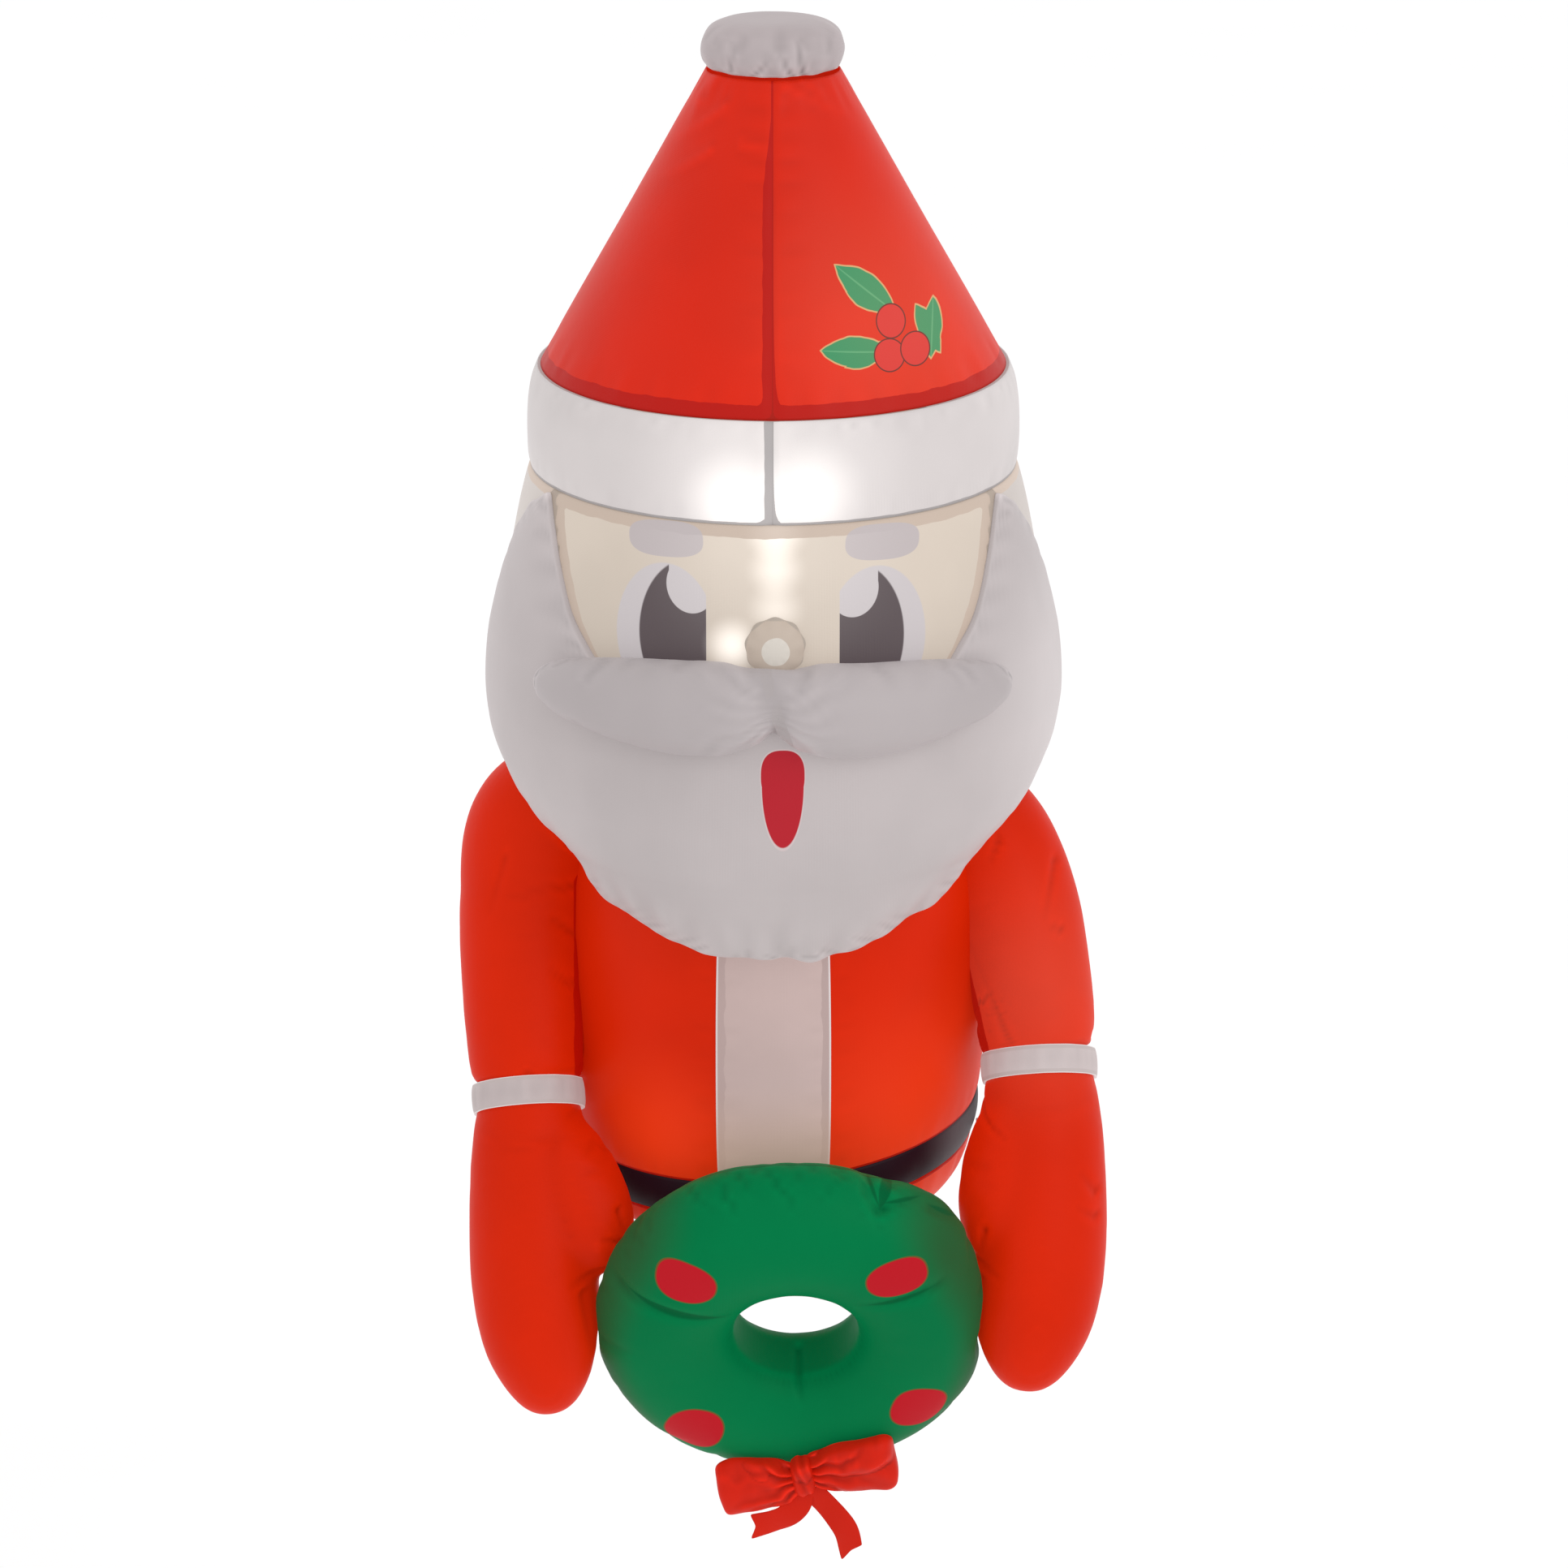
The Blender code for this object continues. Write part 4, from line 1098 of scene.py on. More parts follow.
# Folds on the wreath's face, and over its upper right rim as seen from the front and SLOPE above
WREATH_CREASES = (
    ((-0.1180, 0.0565), (-0.0440, 0.0391), 0.0050, 0.0042),
    ((0.1020, 0.0690), (0.0484, 0.0551), 0.0040, 0.0038),
    ((-0.0980, -0.0950), (-0.0700, -0.0900), 0.0024, 0.0034),
    ((0.1230, -0.0640), (0.1040, -0.0700), 0.0026, 0.0034),
    ((-0.1310, 0.0000), (-0.1130, 0.0060), 0.0024, 0.0034),
    ((-0.0600, -0.1210), (-0.0480, -0.1020), 0.0024, 0.0034),
    ((0.0050, -0.0380), (0.0070, -0.0480), 0.0044, 0.0028))
RIM_CREASES = (
    ((0.0718, -0.0802), (0.0615, -0.0550), 0.0052, 0.0036),
    ((0.0735, -0.0790), (0.0810, -0.0590), 0.0056, 0.0036),
    ((0.0770, -0.0775), (0.0990, -0.0735), 0.0044, 0.0034),
    ((0.1060, -0.0800), (0.1250, -0.0890), 0.0044, 0.0036))
SLOPE = math.radians(20.0)


def seen_from_above(p):
    return (p.x, p.y * math.sin(SLOPE) + p.z * math.cos(SLOPE)) if wreath_place(p).z > -0.030 else None


def press_mitts(piece, gap=0.0020):
    """Dents the wreath towards the middle of its tube wherever a mitt or thumb presses on it."""
    balls = []
    for points, ends in ((LEFT_MITT, PALM_ENDS), (RIGHT_MITT, PALM_ENDS), (LEFT_THUMB, THUMB_ENDS),
                         (RIGHT_THUMB, THUMB_ENDS)):
        line = smooth_through(points, 0.003)
        for index, spot in enumerate(line):
            along = 2 * index / (len(line) - 1) - 1
            power = ends[0] if along < 0 else ends[1]
            balls.append((*spot[:3], spot[3] * (1 - abs(along) ** power) ** (1 / power) + gap))
    balls = np.array(balls)
    spots = spots_of(piece.data)
    middles = []
    for vert in piece.data.vertices:
        q = wreath_place(vert.co)
        ring = wreath_ring(q)
        middles.append(WREATH_CENTRE + wreath_out(q.x / ring * WREATH_TUBE_R, q.y / ring * WREATH_TUBE_R))
    for _ in range(3):
        inward = np.array(middles) - spots
        inward /= np.linalg.norm(inward, axis=1, keepdims=True)
        off = spots[:, None, :] - balls[None, :, :3]
        lean = (off * inward[:, None, :]).sum(axis=2)
        room = (off ** 2).sum(axis=2) - balls[None, :, 3] ** 2
        way_out = np.where(room < 0, -lean + np.sqrt(np.maximum(lean ** 2 - room, 0.0)), 0.0)
        spots += inward * way_out.max(axis=1, keepdims=True)
    piece.data.vertices.foreach_set("co", spots.ravel())
    piece.data.update()


def make_wreath(green):
    outline = list(WREATH_PROFILE[:-1]) + [(0.1346, 0.0060), (0.1350, -0.0080), WREATH_SEAM]
    outline += [(r, -t) for r, t in reversed(WREATH_PROFILE[:-2])]
    wall = [(WREATH_PROFILE[0][0], t) for t in (-0.0125, -0.0075, -0.0025, 0.0025, 0.0075, 0.0125)]
    points = [(p[0], 0.0, p[1]) for p in smooth_through(outline, 0.0052) + [Vector(p) for p in wall]]
    bm = spun(points, 168, closed=True)
    bmesh.ops.remove_doubles(bm, verts=bm.verts, dist=MERGE)
    turn(bm, math.pi / 2 + WREATH_TILT, "X")
    shift(bm, WREATH_CENTRE)
    for vert in bm.verts:
        q = wreath_place(vert.co)
        ring = wreath_ring(q)
        angle = math.degrees(math.atan2(q.y, q.x))
        bulge = 0.075 * math.exp(-((angle - 42) / 17) ** 2)
        bulge += 0.014 * noise.noise(Vector((angle / 22, 0.3, 0.0)))
        grow = bulge * clamp((ring - 0.055) / 0.06)
        near_hole = clamp((0.085 - ring) / 0.04)
        vert.co += wreath_out(q.x * grow + HOLE_SHIFT[0] * near_hole, q.y * grow + HOLE_SHIFT[1] * near_hole)
    piece = finish_mesh(bm, "wreath_ring")

    def held(p):
        q = wreath_place(p)
        in_hole = math.hypot(q.x - HOLE_SHIFT[0], q.y - HOLE_SHIFT[1]) < 0.0445
        return in_hole or (wreath_ring(q) > 0.1240 and -0.0245 < q.z < -0.0185)

    blow_up(piece, held, growth=0.020, cap=0.0045, bend=0.03,
            slack=lambda p: max(0.0, 1.0 - wreath_seam_gap(p) / 0.030))
    yield

    def chart(p):
        q = wreath_place(p)
        return (q.x, q.y) if q.z > -0.012 else None

    crease(piece, chart, WREATH_CREASES)
    crease(piece, seen_from_above, RIM_CREASES)
    press_mitts(piece)
    seam_distance(piece, lambda p: wreath_seam_gap(p) / 0.004)
    sew(piece, green, "wreath", "green_polyester")


def lean_on_wreath(bm, place):
    """Sets a bow's mesh in place and bends it forward where the wreath is in its way."""
    for vert in bm.verts:
        spot = place @ vert.co
        q = wreath_place(place @ Vector((vert.co.x, abs(vert.co.y), vert.co.z)))
        ring = wreath_ring(q)
        if ring < 0.137:
            spot.y -= max(0.0, between(WREATH_PROFILE, ring) + 0.0045 - q.z) / math.cos(WREATH_TILT)
        vert.co = spot


def make_bow(bow):
    """Two puffed loops drawn together by a knot, and two ribbon ends."""
    place = Matrix.Translation(BOW_CENTRE + Vector((0, -0.001, 0.002))) @ Matrix.Rotation(-BOW_TILT, 4, "Y")
    for name, sign, reach, tall in (("bow_loop_left", -1, 0.0610, 0.0222),
                                    ("bow_loop_right", 1, 0.0665, 0.0240)):
        line = ((sign * 0.003, 0, 0, 0.0185), (sign * 0.018, 0, 0, 0.0192), (sign * 0.038, 0, 0, tall * 0.93),
                (sign * reach, 0, 0, tall))
        bm = bolster(line, 26, flat=0.55, blunt=(3.0, 5.5))
        for vert in bm.verts:
            near = max(0.0, 1 - abs(vert.co.x) / 0.056)
            fan = math.sin(16 * math.atan2(vert.co.z, abs(vert.co.x) + 0.006) + 2 * waves(vert.co, 0.012))
            side = 1 if vert.co.y > 0 else -1
            vert.co.y += side * (0.0020 * fan * near + 0.0016 * waves(vert.co, 0.014, 6.0))
            vert.co.z += 0.0022 * waves(vert.co, 0.018, 4.0) + 0.0030 * sign * near
            vert.co.x += 0.0022 * waves(vert.co, 0.016, 8.0) * (1 - near)
        lean_on_wreath(bm, place)
        sew(finish_mesh(bm, name + "_skin"), bow, name, "bow_polyester")
    bm = round_block(14)
    for vert in bm.verts:
        x, y, z = vert.co
        size = (abs(x) ** 3 + abs(y) ** 3 + abs(z) ** 3) ** (-1 / 3)
        fold = 1 + 0.04 * math.sin(8 * x + 4 * z)
        vert.co = Vector((x * 0.0085 + 0.0012 * z, y * 0.0112 * fold, z * 0.0152 * fold)) * size
    lean_on_wreath(bm, place)
    sew(finish_mesh(bm, "knot_skin"), bow, "bow_knot", "bow_polyester")
    y = BOW_CENTRE.y - 0.001
    left = ((0.0190, y, -0.1610), (0.0175, y - 0.001, -0.1710), (0.0100, y - 0.002, -0.1795),
            (0.0, y - 0.001, -0.1845), (-0.0125, y, -0.1890))
    right = ((0.0260, y, -0.1610), (0.0345, y - 0.001, -0.1690), (0.0440, y - 0.003, -0.1800),
             (0.0510, y - 0.002, -0.1925), (0.0545, y, -0.2080))
    make_tail("bow_tail_left", "ribbon_left", left, 0.0178, bow, (0.2, 1.2))
    make_tail("bow_tail_right", "ribbon_right", right, 0.0168, bow, (1.4, -0.4))


def make_tail(node, name, route, width, bow, cut):
    """A flat ribbon end that follows a route and is cut on a slant."""
    line = smooth_through(route, 0.0016)
    bm = bmesh.new()
    bmesh.ops.create_grid(bm, x_segments=len(line) - 1, y_segments=6, size=1.0)
    last = len(line) - 1
    for vert in bm.verts:
        index = round((vert.co.x + 1) / 2 * last)
        share = vert.co.y
        here = line[index]
        ahead = (line[min(last, index + 1)] - line[max(0, index - 1)]).normalized()
        side = ahead.cross(Vector((0, -1, 0))).normalized()
        tip = max(0.0, (index / last - 0.86) / 0.14)
        slant = tip * (cut[0] if share > 0 else cut[1]) * abs(share) * 0.006
        curl = 0.0014 * math.sin(index / last * 7) * share - 0.0010 * (1 - share * share)
        vert.co = here + side * share * width / 2 + ahead * slant + Vector((0, curl, 0))
    tail = finish_mesh(bm, name, outward=False)
    sew(tail, bow, node, "bow_polyester", thick=0.0006)
    length = sum((b - a).length for a, b in zip(line, line[1:]))


def make_neck(red, dark):
    """The flattened tube for the window opening: flat on sill and sash, puffed at its sides."""
    bm = bmesh.new()
    bmesh.ops.create_cube(bm, size=1.0)
    bmesh.ops.subdivide_edges(bm, edges=bm.edges[:], cuts=34, use_grid_fill=True)
    length = NECK_BACK - NECK_FRONT
    rounding = 0.030
    for vert in bm.verts:
        x = vert.co.x * 2 * NECK_HALF_WIDTH
        z = (vert.co.z + 0.5) * NECK_HEIGHT
        core_x = max(-NECK_HALF_WIDTH + rounding, min(NECK_HALF_WIDTH - rounding, x))
        core_z = max(rounding, min(NECK_HEIGHT - rounding, z))
        off = Vector((x - core_x, z - core_z))
        if off.x and off.y and off.length > rounding:
            off = off.normalized() * rounding
        vert.co = Vector((core_x + off.x, NECK_FRONT + (vert.co.y + 0.5) * length, core_z + off.y))
    piece = finish_mesh(bm, "neck_tube")

    def held(p):
        flat = p.z < 0.0006 or p.z > NECK_HEIGHT - 0.0006
        return flat or p.y > NECK_BACK - 0.0006 or p.y < NECK_FRONT + 0.05

    blow_up(piece, held, growth=0.010, cap=0.004)
    yield

    def side_seam(p):
        return abs(p.z - NECK_HEIGHT / 2) if abs(p.x) > NECK_HALF_WIDTH - 0.012 else NO_SEAM

    def seams(p):
        return ((NECK_BACK - p.y, p.x + p.z, 1.0), (side_seam(p), p.y, 2.0))

    pleats(piece, seams, depth=0.0010, reach=0.030)
    push_out(piece, lambda p: -0.0012 * math.exp(-(side_seam(p) / 0.003) ** 2))
    seam_distance(piece, lambda p: min(NECK_BACK - p.y, side_seam(p)) / 0.006)
    sew(piece, red, "window_neck", "red_polyester")
    make_rear(red, dark)


def rounded_plate(half_x, half_z, radius, thick):
    """A plate with round corners that stands across Y, its near face at 0."""
    bm = bmesh.new()
    bmesh.ops.create_cube(bm, size=1.0)
    bmesh.ops.scale(bm, verts=bm.verts, vec=(2 * half_x, thick, 2 * half_z))
    along = [e for e in bm.edges if abs(e.verts[0].co.y - e.verts[1].co.y) > thick / 2]
    bmesh.ops.bevel(bm, geom=along, offset=radius, segments=10, profile=0.5, affect="EDGES", material=-1)
    shift(bm, (0, thick / 2, 0))
    return bm


def make_rear(red, dark):
    """Rear panel with its rolled seam, the air intake with its guard, and the power inlet."""
    bm = rounded_plate(NECK_HALF_WIDTH, NECK_HEIGHT / 2, 0.026, PANEL_BACK - NECK_BACK - 0.0003)
    back = [f for f in bm.faces if f.normal.y > 0.9]
    bmesh.ops.inset_region(bm, faces=back, thickness=0.005, depth=0.0)
    back = [f for f in bm.faces if f.normal.y > 0.9 and len(f.verts) > 6]
    bmesh.ops.inset_region(bm, faces=back, thickness=0.0016, depth=-0.0012)
    shift(bm, (0, NECK_BACK + 0.0003, NECK_HEIGHT / 2))
    panel = finish_mesh(bm, "rear_cloth")
    for face in panel.data.polygons:
        face.use_smooth = False
    seam_distance(panel)
    soft = panel.modifiers.new("soft_edge", "BEVEL")
    soft.width = 0.0012
    soft.segments = 3
    dress(panel, red, "rear_panel", "red_polyester")
    middle = Vector((0.0, PANEL_BACK + 0.0003, NECK_HEIGHT / 2))
    ring = ((INTAKE_R - 0.006, 0.0), (INTAKE_R, 0.0), (INTAKE_R, 0.009), (INTAKE_R - 0.0015, 0.0115),
            (INTAKE_R - 0.004, 0.0115), (INTAKE_R - 0.006, 0.0100))
    turned_rear("intake_collar", ring, middle, 96, dark, "blower_intake")
    make_guard(middle, dark)
    hub = ((0.0, 0.0), (0.0138, 0.0), (0.0138, 0.0012), (0.0120, 0.0028), (0.0, 0.0030))
    turned_rear("guard_hub", hub, middle + Vector((0, 0.0033, 0)), 64, dark, "intake_hub")
    inlet = ((0.0, 0.0), (0.0070, 0.0), (0.0070, 0.0080), (0.0049, 0.0108), (0.0030, 0.0108),
             (0.0030, 0.0040), (0.0, 0.0040))
    turned_rear("lead_inlet", inlet, Vector((0.082, PANEL_BACK + 0.0003, 0.030)), 48, dark, "power_inlet")


def turned_rear(name, profile, centre, steps, dark, node):
    """A plastic part turned about a line along Y."""
    bm = spun([(r, d, 0.0) for r, d in profile], steps, axis=(0, 1, 0), closed=profile[0][0] > 0.0)
    shift(bm, centre)
    piece = finish_mesh(bm, name)
    piece.data.set_sharp_from_angle(angle=math.radians(35))
    dress(piece, dark, node, "black_plastic")


def flat_ring(bm, inner, outer, steps):
    made = bmesh.ops.create_circle(bm, segments=steps, radius=inner)["verts"]
    loop = [e for e in bm.edges if e.verts[0] in made and e.verts[1] in made]
    for vert in only_verts(bmesh.ops.extrude_edge_only(bm, edges=loop)["geom"]):
        vert.co *= outer / inner


def make_guard(middle, dark):
    """Spokes and rings over the intake."""
    inner, hub, wire = INTAKE_R - 0.0065, 0.011, 0.0016
    bm = bmesh.new()
    for radius in (0.0195, 0.0265, 0.0335):
        flat_ring(bm, radius, radius + wire, 72)
    for spoke in range(12):
        around = Matrix.Rotation(math.tau * spoke / 12, 4, "Z")
        out = Matrix.Translation(((inner + hub) / 2, 0, 0))
        size = Matrix.Diagonal((inner - hub, wire, 1.0, 1.0))
        bmesh.ops.create_grid(bm, x_segments=8, y_segments=1, size=0.5, matrix=around @ out @ size)
    flat_ring(bm, inner - 0.0018, inner, 96)
    turn(bm, -math.pi / 2, "X")
    shift(bm, middle + Vector((0, wire, 0)))
    guard = finish_mesh(bm, "intake_grille", outward=False)
    wall = guard.modifiers.new("thickness", "SOLIDIFY")
    wall.thickness = 0.0013
    wall.offset = 0.0
    dress(guard, dark, "intake_guard", "black_plastic")


def make_tethers(webbing):
    """A folded loop of webbing at each lower side seam."""
    for side, sign in (("left", -1), ("right", 1)):
        bm = bmesh.new()
        bmesh.ops.create_grid(bm, x_segments=20, y_segments=4, size=1.0)
        for vert in bm.verts:
            bend = vert.co.x * math.pi * 0.82
            out = 0.0085 + 0.0078 * math.cos(bend)
            rise = 0.0030 * math.sin(bend) * (0.65 + 0.35 * math.cos(bend))
            vert.co = Vector((sign * (0.1440 + out), AXIS.y + vert.co.y * 0.0048, 0.0455 + rise))
        tether = finish_mesh(bm, "webbing_" + side, outward=False)
        sew(tether, webbing, "tether_" + side, "white_polyester", thick=0.0008)


def face_marks(s, shade):
    """Brows and eyes, flat on the face."""
    pale, dark = (0.575, 0.530, 0.540), (0.104, 0.080, 0.086)
    eyes = ((-1.0, (-0.0692, 0.5306), (-0.0690, 0.4680), (-0.0520, 0.4700), (-0.0530, 0.5032),
             (0.0672, 0.5040)),
            (1.0, (0.0710, 0.5285), (0.0665, 0.4665), (0.0503, 0.4680), (0.0525, 0.5008), (0.0680, 0.5018)))
    for side, brow, ball, iris, glint, tip in eyes:
        arch = s.inside(s.ellipse(brow, (0.0242, 0.0112), -side * 0.05, power=2.8))
        shade = s.mix(shade, (0.500, 0.445, 0.448), arch)
        out = s.times(s.x, side)
        outer = s.step(out, 0.0430, 0.0434)
        shade = s.mix(shade, pale, s.inside(s.ellipse(ball, (0.0330, 0.0475))), outer)
        beside = s.step(out, tip[0], tip[0] + 0.0003, (1.0, 0.0))
        above = s.times(beside, s.step(s.z, tip[1] - 0.0002, tip[1]))
        light = s.math("MAXIMUM", s.inside(s.ellipse(glint, (0.0160, 0.0180))), above)
        pupil = s.inside(s.ellipse(iris, (0.0350, 0.0497)))
        shade = s.mix(shade, dark, pupil, outer, s.math("SUBTRACT", 1.0, light))
    return shade


def mouth_marks(s, shade):
    """A small red mouth on the beard."""
    upper = s.ellipse((0.0064, 0.3850), (0.0142, 0.0165), power=2.6)
    lower = s.ellipse((0.0064, 0.3795), (0.0136, 0.0425))
    shape = s.math("MINIMUM", upper, s.math("ADD", lower, s.step(s.z, 0.384, 0.386, (0.0, 2.0))))
    front = s.math("LESS_THAN", s.y, -0.40)
    shade = s.mix(shade, (0.60, 0.50, 0.50), s.inside(shape, 1.05), front)
    return s.mix(shade, (0.445, 0.013, 0.024), s.inside(shape), front)


def strip_marks(s, shade):
    """The front strip is warmer towards the belt, where a lamp stands behind it."""
    return s.mix(shade, (0.600, 0.405, 0.320), s.step(s.z, 0.070, 0.150, (0.8, 0.0)))


def holly_marks(s, shade):
    """Three leaves and three berries on the hat's right."""
    front = s.math("LESS_THAN", s.y, -0.27)
    leaves = ((((0.0405, 0.6980), (0.0790, 0.6670), 0.0170), ((0.0478, 0.6822), (0.0760, 0.6700), 0.0100)),
              (((0.0310, 0.6496), (0.0760, 0.6450), 0.0170), ((0.0470, 0.6392), (0.0760, 0.6500), 0.0110)),
              (((0.1050, 0.6695), (0.1030, 0.6370), 0.0130), ((0.0932, 0.6680), (0.1090, 0.6390), 0.0115)))
    for whole, spike in leaves:
        edge = s.math("MINIMUM", s.leaf(*whole), s.leaf(*spike))
        edge = s.math("MULTIPLY_ADD", s.noise(120.0, 1.0), 0.0014, s.math("SUBTRACT", edge, 0.0007))
        shade = s.mix(shade, (0.60, 0.36, 0.16), s.step(edge, 0.0006, 0.0010, (1.0, 0.0)), front)
        green = s.times(s.step(edge, -0.0002, 0.0001, (1.0, 0.0)), front)
        shade = s.mix(shade, (0.0, 0.262, 0.112), green)
        vein = s.step(s.leaf(whole[0], whole[1], 0.0006), 0.0, 0.0004, (0.5, 0.0))
        shade = s.mix(shade, (0.12, 0.45, 0.22), vein, green)
    for centre, tilt in (((0.0765, 0.6622), 0.9), ((0.0755, 0.6430), 0.6), ((0.0925, 0.6440), 0.8)):
        ball = s.ellipse(centre, (0.0108, 0.0093), -tilt)
        shade = s.mix(shade, (0.085, 0.012, 0.014), s.inside(ball), front)
        shade = s.mix(shade, (0.590, 0.024, 0.024), s.inside(ball, 0.92), front)
    return shade


def wreath_marks(s, shade):
    """Painted shade in the folds and towards the rim at the sides, and four red dots on the wreath's face."""
    across, back, rise = (s.math("SUBTRACT", *pair) for pair in zip((s.x, s.y, s.z), WREATH_CENTRE))
    sin, cos = math.sin(WREATH_TILT), math.cos(WREATH_TILT)
    up = s.turned(rise, back, cos, -sin)
    out = s.turned(rise, back, -sin, -cos)
    front = s.step(out, 0.002, 0.004)
    ring = s.math("SQRT", s.turned(across, up, across, up))
    # Painted shade: darker green towards the rim at the left and right.
    rim_shade_side = s.step(s.math("ABSOLUTE", across), 0.060, 0.110)
    shade = s.mix(shade, (0.030, 0.062, 0.018), s.step(ring, 0.104, 0.138, (0.0, 0.70)), rim_shade_side)
    # Painted shade: dark crescents along two folds on the wreath's face.
    for tip, base, width in (((-0.1150, 0.0580), (-0.0430, 0.0385), 0.0085),
                             ((0.1020, 0.0690), (0.0470, 0.0545), 0.0052)):
        fold = s.step(s.leaf(tip, base, width, (across, up)), -0.0020, 0.0004, (0.75, 0.0))
        shade = s.mix(shade, (0.0, 0.085, 0.026), fold, front)
    # Painted shade: dark strips along the folds over the upper right rim.
    height = s.turned(s.y, s.z, math.sin(SLOPE), math.cos(SLOPE))
    for tip, base, width in (((0.0718, -0.0812), (0.0615, -0.0540), 0.0030),
                             ((0.0718, -0.0812), (0.0800, -0.0540), 0.0085),
                             ((0.0740, -0.0775), (0.1000, -0.0735), 0.0032),
                             ((0.1040, -0.0790), (0.1260, -0.0895), 0.0036)):
        fold = s.step(s.leaf(tip, base, width, (s.x, height)), -0.0010, 0.0005, (0.65, 0.0))
        shade = s.mix(shade, (0.0, 0.080, 0.025), fold, s.step(out, -0.032, -0.030))
    dots = (((-0.0708, 0.0758), (0.0202, 0.0152), -0.18), ((0.0712, 0.0806), (0.0204, 0.0140), 0.22),
            ((-0.0674, -0.0700), (0.0196, 0.0225), -0.30), ((0.0883, -0.0478), (0.0186, 0.0205), -0.30))
    for centre, radii, tilt in dots:
        dot = s.ellipse(centre, radii, tilt, axes=(across, up), power=2.3)
        shade = s.mix(shade, (0.16, 0.085, 0.022), s.inside(dot, 1.05), front)
        shade = s.mix(shade, (0.480, 0.011, 0.019), s.inside(dot), front)
    return shade


def plastic(name):
    s = Shader(name, roughness=0.42, specular=0.4)
    s.bump(s.noise(900.0), 0.15, 0.0005)
    tint = s.step(s.noise(40.0), 0.3, 0.7, (0.8, 1.25))
    s.feed(s.surface["Base Color"], s.scaled((0.022, 0.021, 0.022), tint))
    return s.material


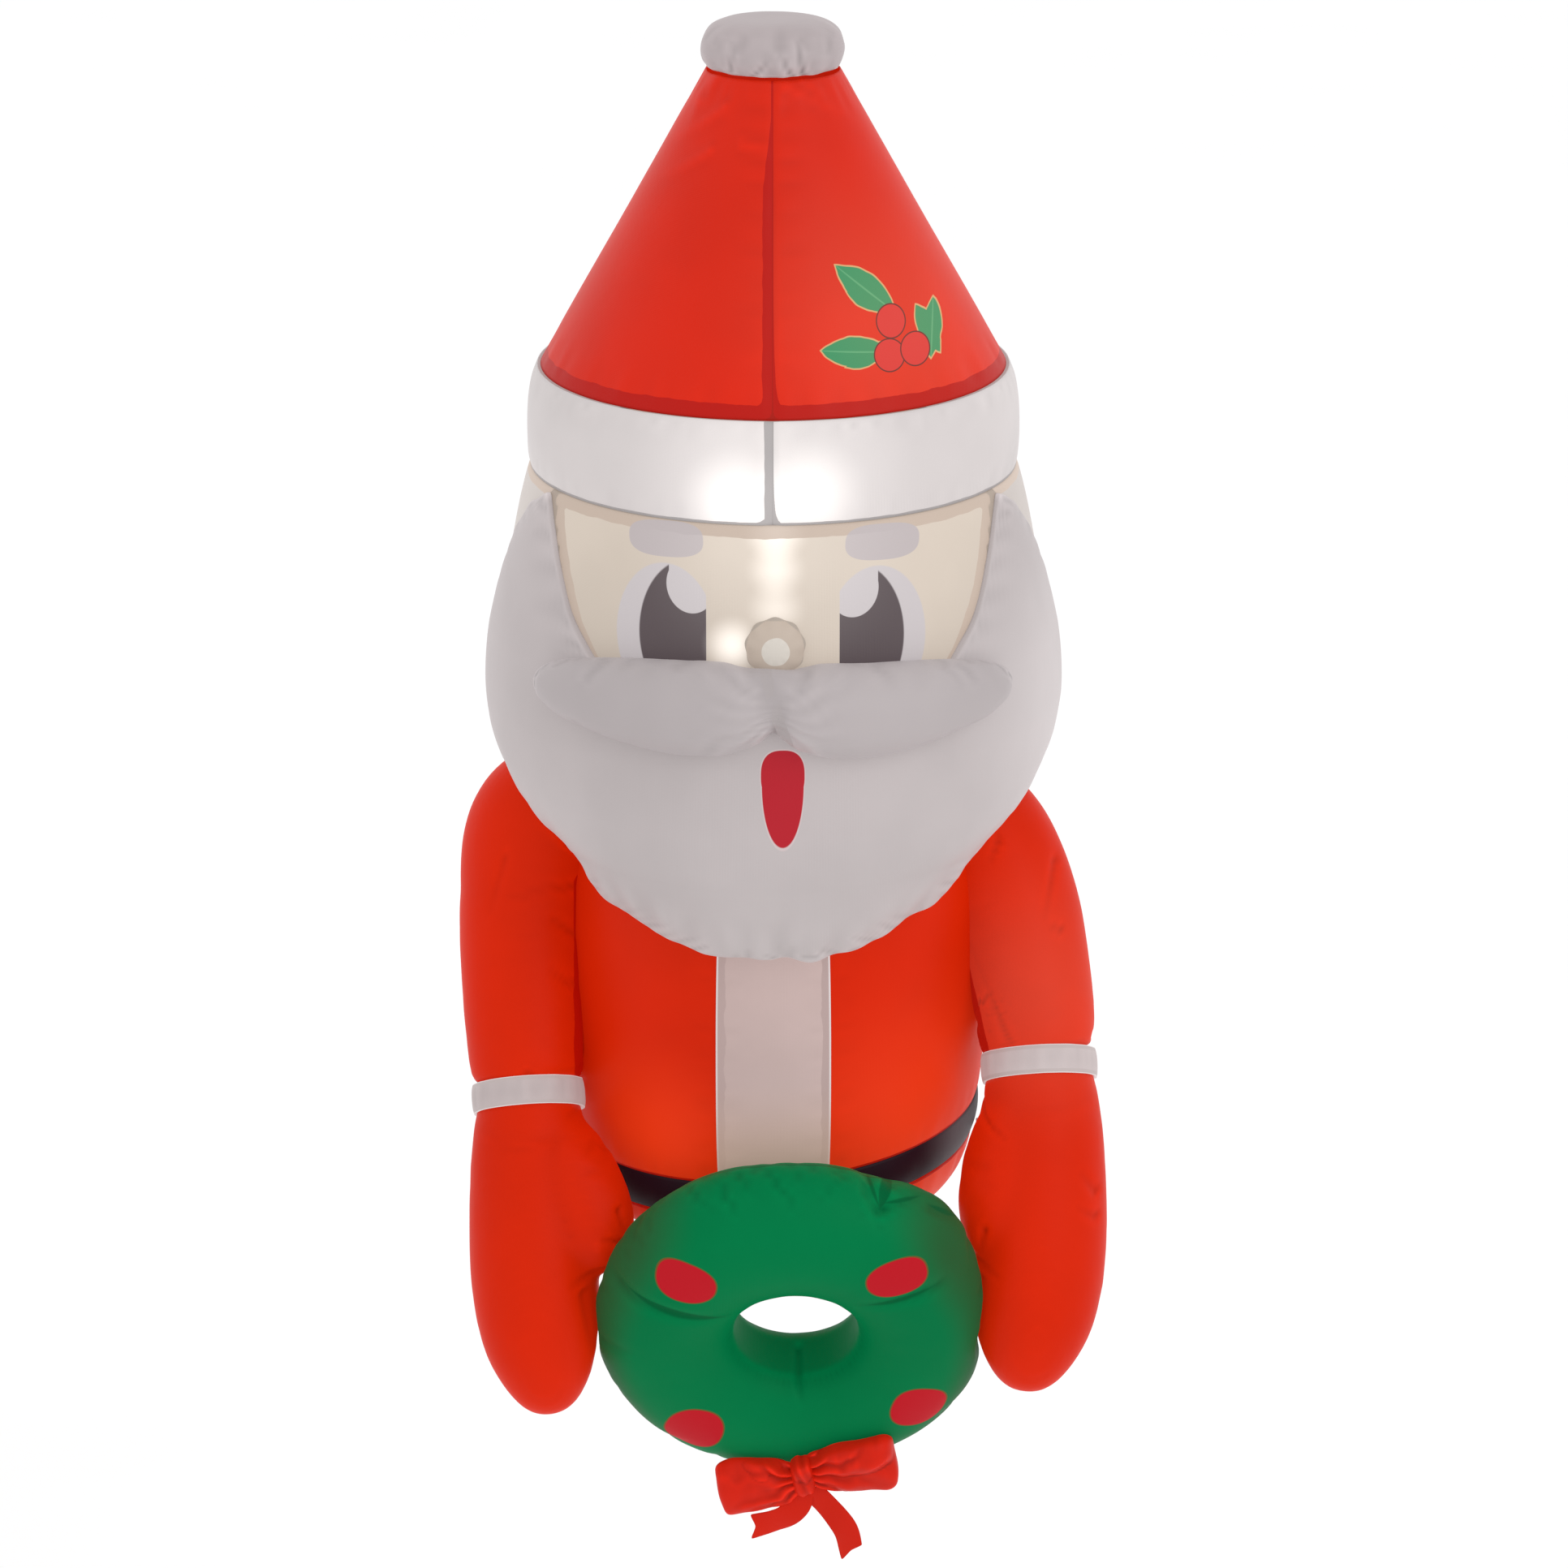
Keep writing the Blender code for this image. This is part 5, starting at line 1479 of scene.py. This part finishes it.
def main():
    make_camera()
    make_studio()
    warm = (1.0, 0.97, 0.93)
    deep_red = (0.44, 0.004, 0.001)
    pale = {"mottle": 0.05, "gloss": 0.15}
    piped = {"edge_line": (1.0, 1.0, 1.0)}
    red = polyester("red_cloth", RED, deep_red,
                    lights=(((0.190, -0.330, 0.185), 0.120, 0.075, (1.0, 0.42, 0.28)),
                            ((0.140, -0.330, 0.020), 0.060, 0.20, (1.0, 0.35, 0.25))))
    coat_red = polyester("coat_cloth", RED, deep_red,
                         lights=(((0.095, -0.350, 0.085), 0.150, 0.17, (1.0, 0.15, 0.05)),
                                 ((-0.075, -0.366, 0.090), 0.090, 0.17, (1.0, 0.12, 0.03)),
                                 ((0.140, -0.330, 0.020), 0.050, 0.22, (1.0, 0.35, 0.25))))
    hat_red = polyester("hat_cloth", (0.640, 0.0150, 0.0010), deep_red, marks=holly_marks, gloss=0.16,
                        lights=(((0.085, -0.340, 0.660), 0.140, 0.10, (1.0, 0.32, 0.19)),))
    white = polyester("white_cloth", WHITE, (0.50, 0.43, 0.42), **pale, **piped,
                      lights=(((0.186, -0.340, 0.125), 0.070, 0.09, (1.0, 0.93, 0.93)),))
    pompom_white = polyester("pompom_cloth", (0.425, 0.370, 0.375), (0.75, 0.72, 0.72), width=0.30,
                             **pale, **piped)
    # Painted light: a lighter copy of the white cloth for the brim, where the lamps inside shine through it.
    lit_brim_white = polyester("lit_brim_cloth", (0.610, 0.565, 0.560), (0.36, 0.335, 0.335), gloss=0.20,
                           lights=(((-0.0246, -0.4045, 0.5574), 0.042, 0.34, warm),
                                   ((0.0249, -0.4045, 0.5629), 0.042, 0.32, warm),
                                   ((0.0, -0.4045, 0.5590), 0.110, 0.26, warm)))
    beard_white = polyester("beard_cloth", (0.490, 0.442, 0.443), (0.54, 0.495, 0.495), marks=mouth_marks,
                            width=0.25, ragged=0.1, **pale, **piped,
                            lights=(((0.190, -0.330, 0.400), 0.130, 0.10, (1.0, 0.97, 0.97)),))
    # Painted shade: a darker copy of the white cloth for the moustache, which lies double in front of the lit
    # beard.
    shaded_lip_white = polyester("shaded_moustache_cloth", (0.432, 0.390, 0.394), (0.40, 0.36, 0.36), mottle=0.04,
                          gloss=0.15)
    strip_white = polyester("strip_cloth", (0.535, 0.405, 0.385), (0.45, 0.335, 0.32), marks=strip_marks,
                            gloss=0.10, ragged=0.9, **piped)
    head_pale = polyester("head_cloth", (0.60, 0.545, 0.515), (0.62, 0.50, 0.42), **pale)
    beige = polyester("face_cloth", BEIGE, (0.545, 0.435, 0.360), marks=face_marks, mottle=0.05, gloss=0.2,
                      lights=(((0.0020, -0.4080, 0.540), 0.024, 0.50, warm),
                              ((0.0020, -0.4130, 0.515), 0.022, 0.36, warm),
                              ((0.0020, -0.4180, 0.490), 0.022, 0.28, warm),
                              ((-0.0262, -0.4188, 0.466), 0.022, 0.55, warm),
                              ((0.0, -0.405, 0.53), 0.10, 0.10, warm)))
    nose_beige = polyester("nose_cloth", (0.68, 0.63, 0.57), (0.51, 0.42, 0.35), ragged=0.25, **pale)
    green = polyester("green_cloth", GREEN, (0.0, 0.120, 0.036), marks=wreath_marks, lit=0.40, gloss=0.03,
                      edge_line=(0.0, 0.120, 0.040))
    black = polyester("black_cloth", BLACK, lit=0.3, gloss=0.10,
                      lights=(((0.130, -0.310, 0.076), 0.050, 0.06, (1.0, 0.72, 0.76)),))
    bow = polyester("bow_cloth", BOW_RED, lit=0.35, gloss=0.08)
    webbing = polyester("webbing_cloth", (0.60, 0.58, 0.58), lit=0.1)
    dark = plastic("dark_plastic")
    makers = [
        make_pompom(pompom_white),
        make_hat(hat_red),
        make_brim(lit_brim_white),
        make_head(beige, head_pale),
        make_moustache(shaded_lip_white),
        make_beard(beard_white),
        make_coat(coat_red, strip_white, black),
        make_arm("left", LEFT_SLEEVE, LEFT_MITT, LEFT_THUMB, red, white),
        make_arm("right", RIGHT_SLEEVE, RIGHT_MITT, RIGHT_THUMB, red, white),
        make_wreath(green),
        make_neck(red, dark),
    ]
    for maker in makers:
        next(maker)
    run_air()
    for maker in makers:
        next(maker, None)
    make_nose(nose_beige)
    make_bow(bow)
    make_tethers(webbing)


main()
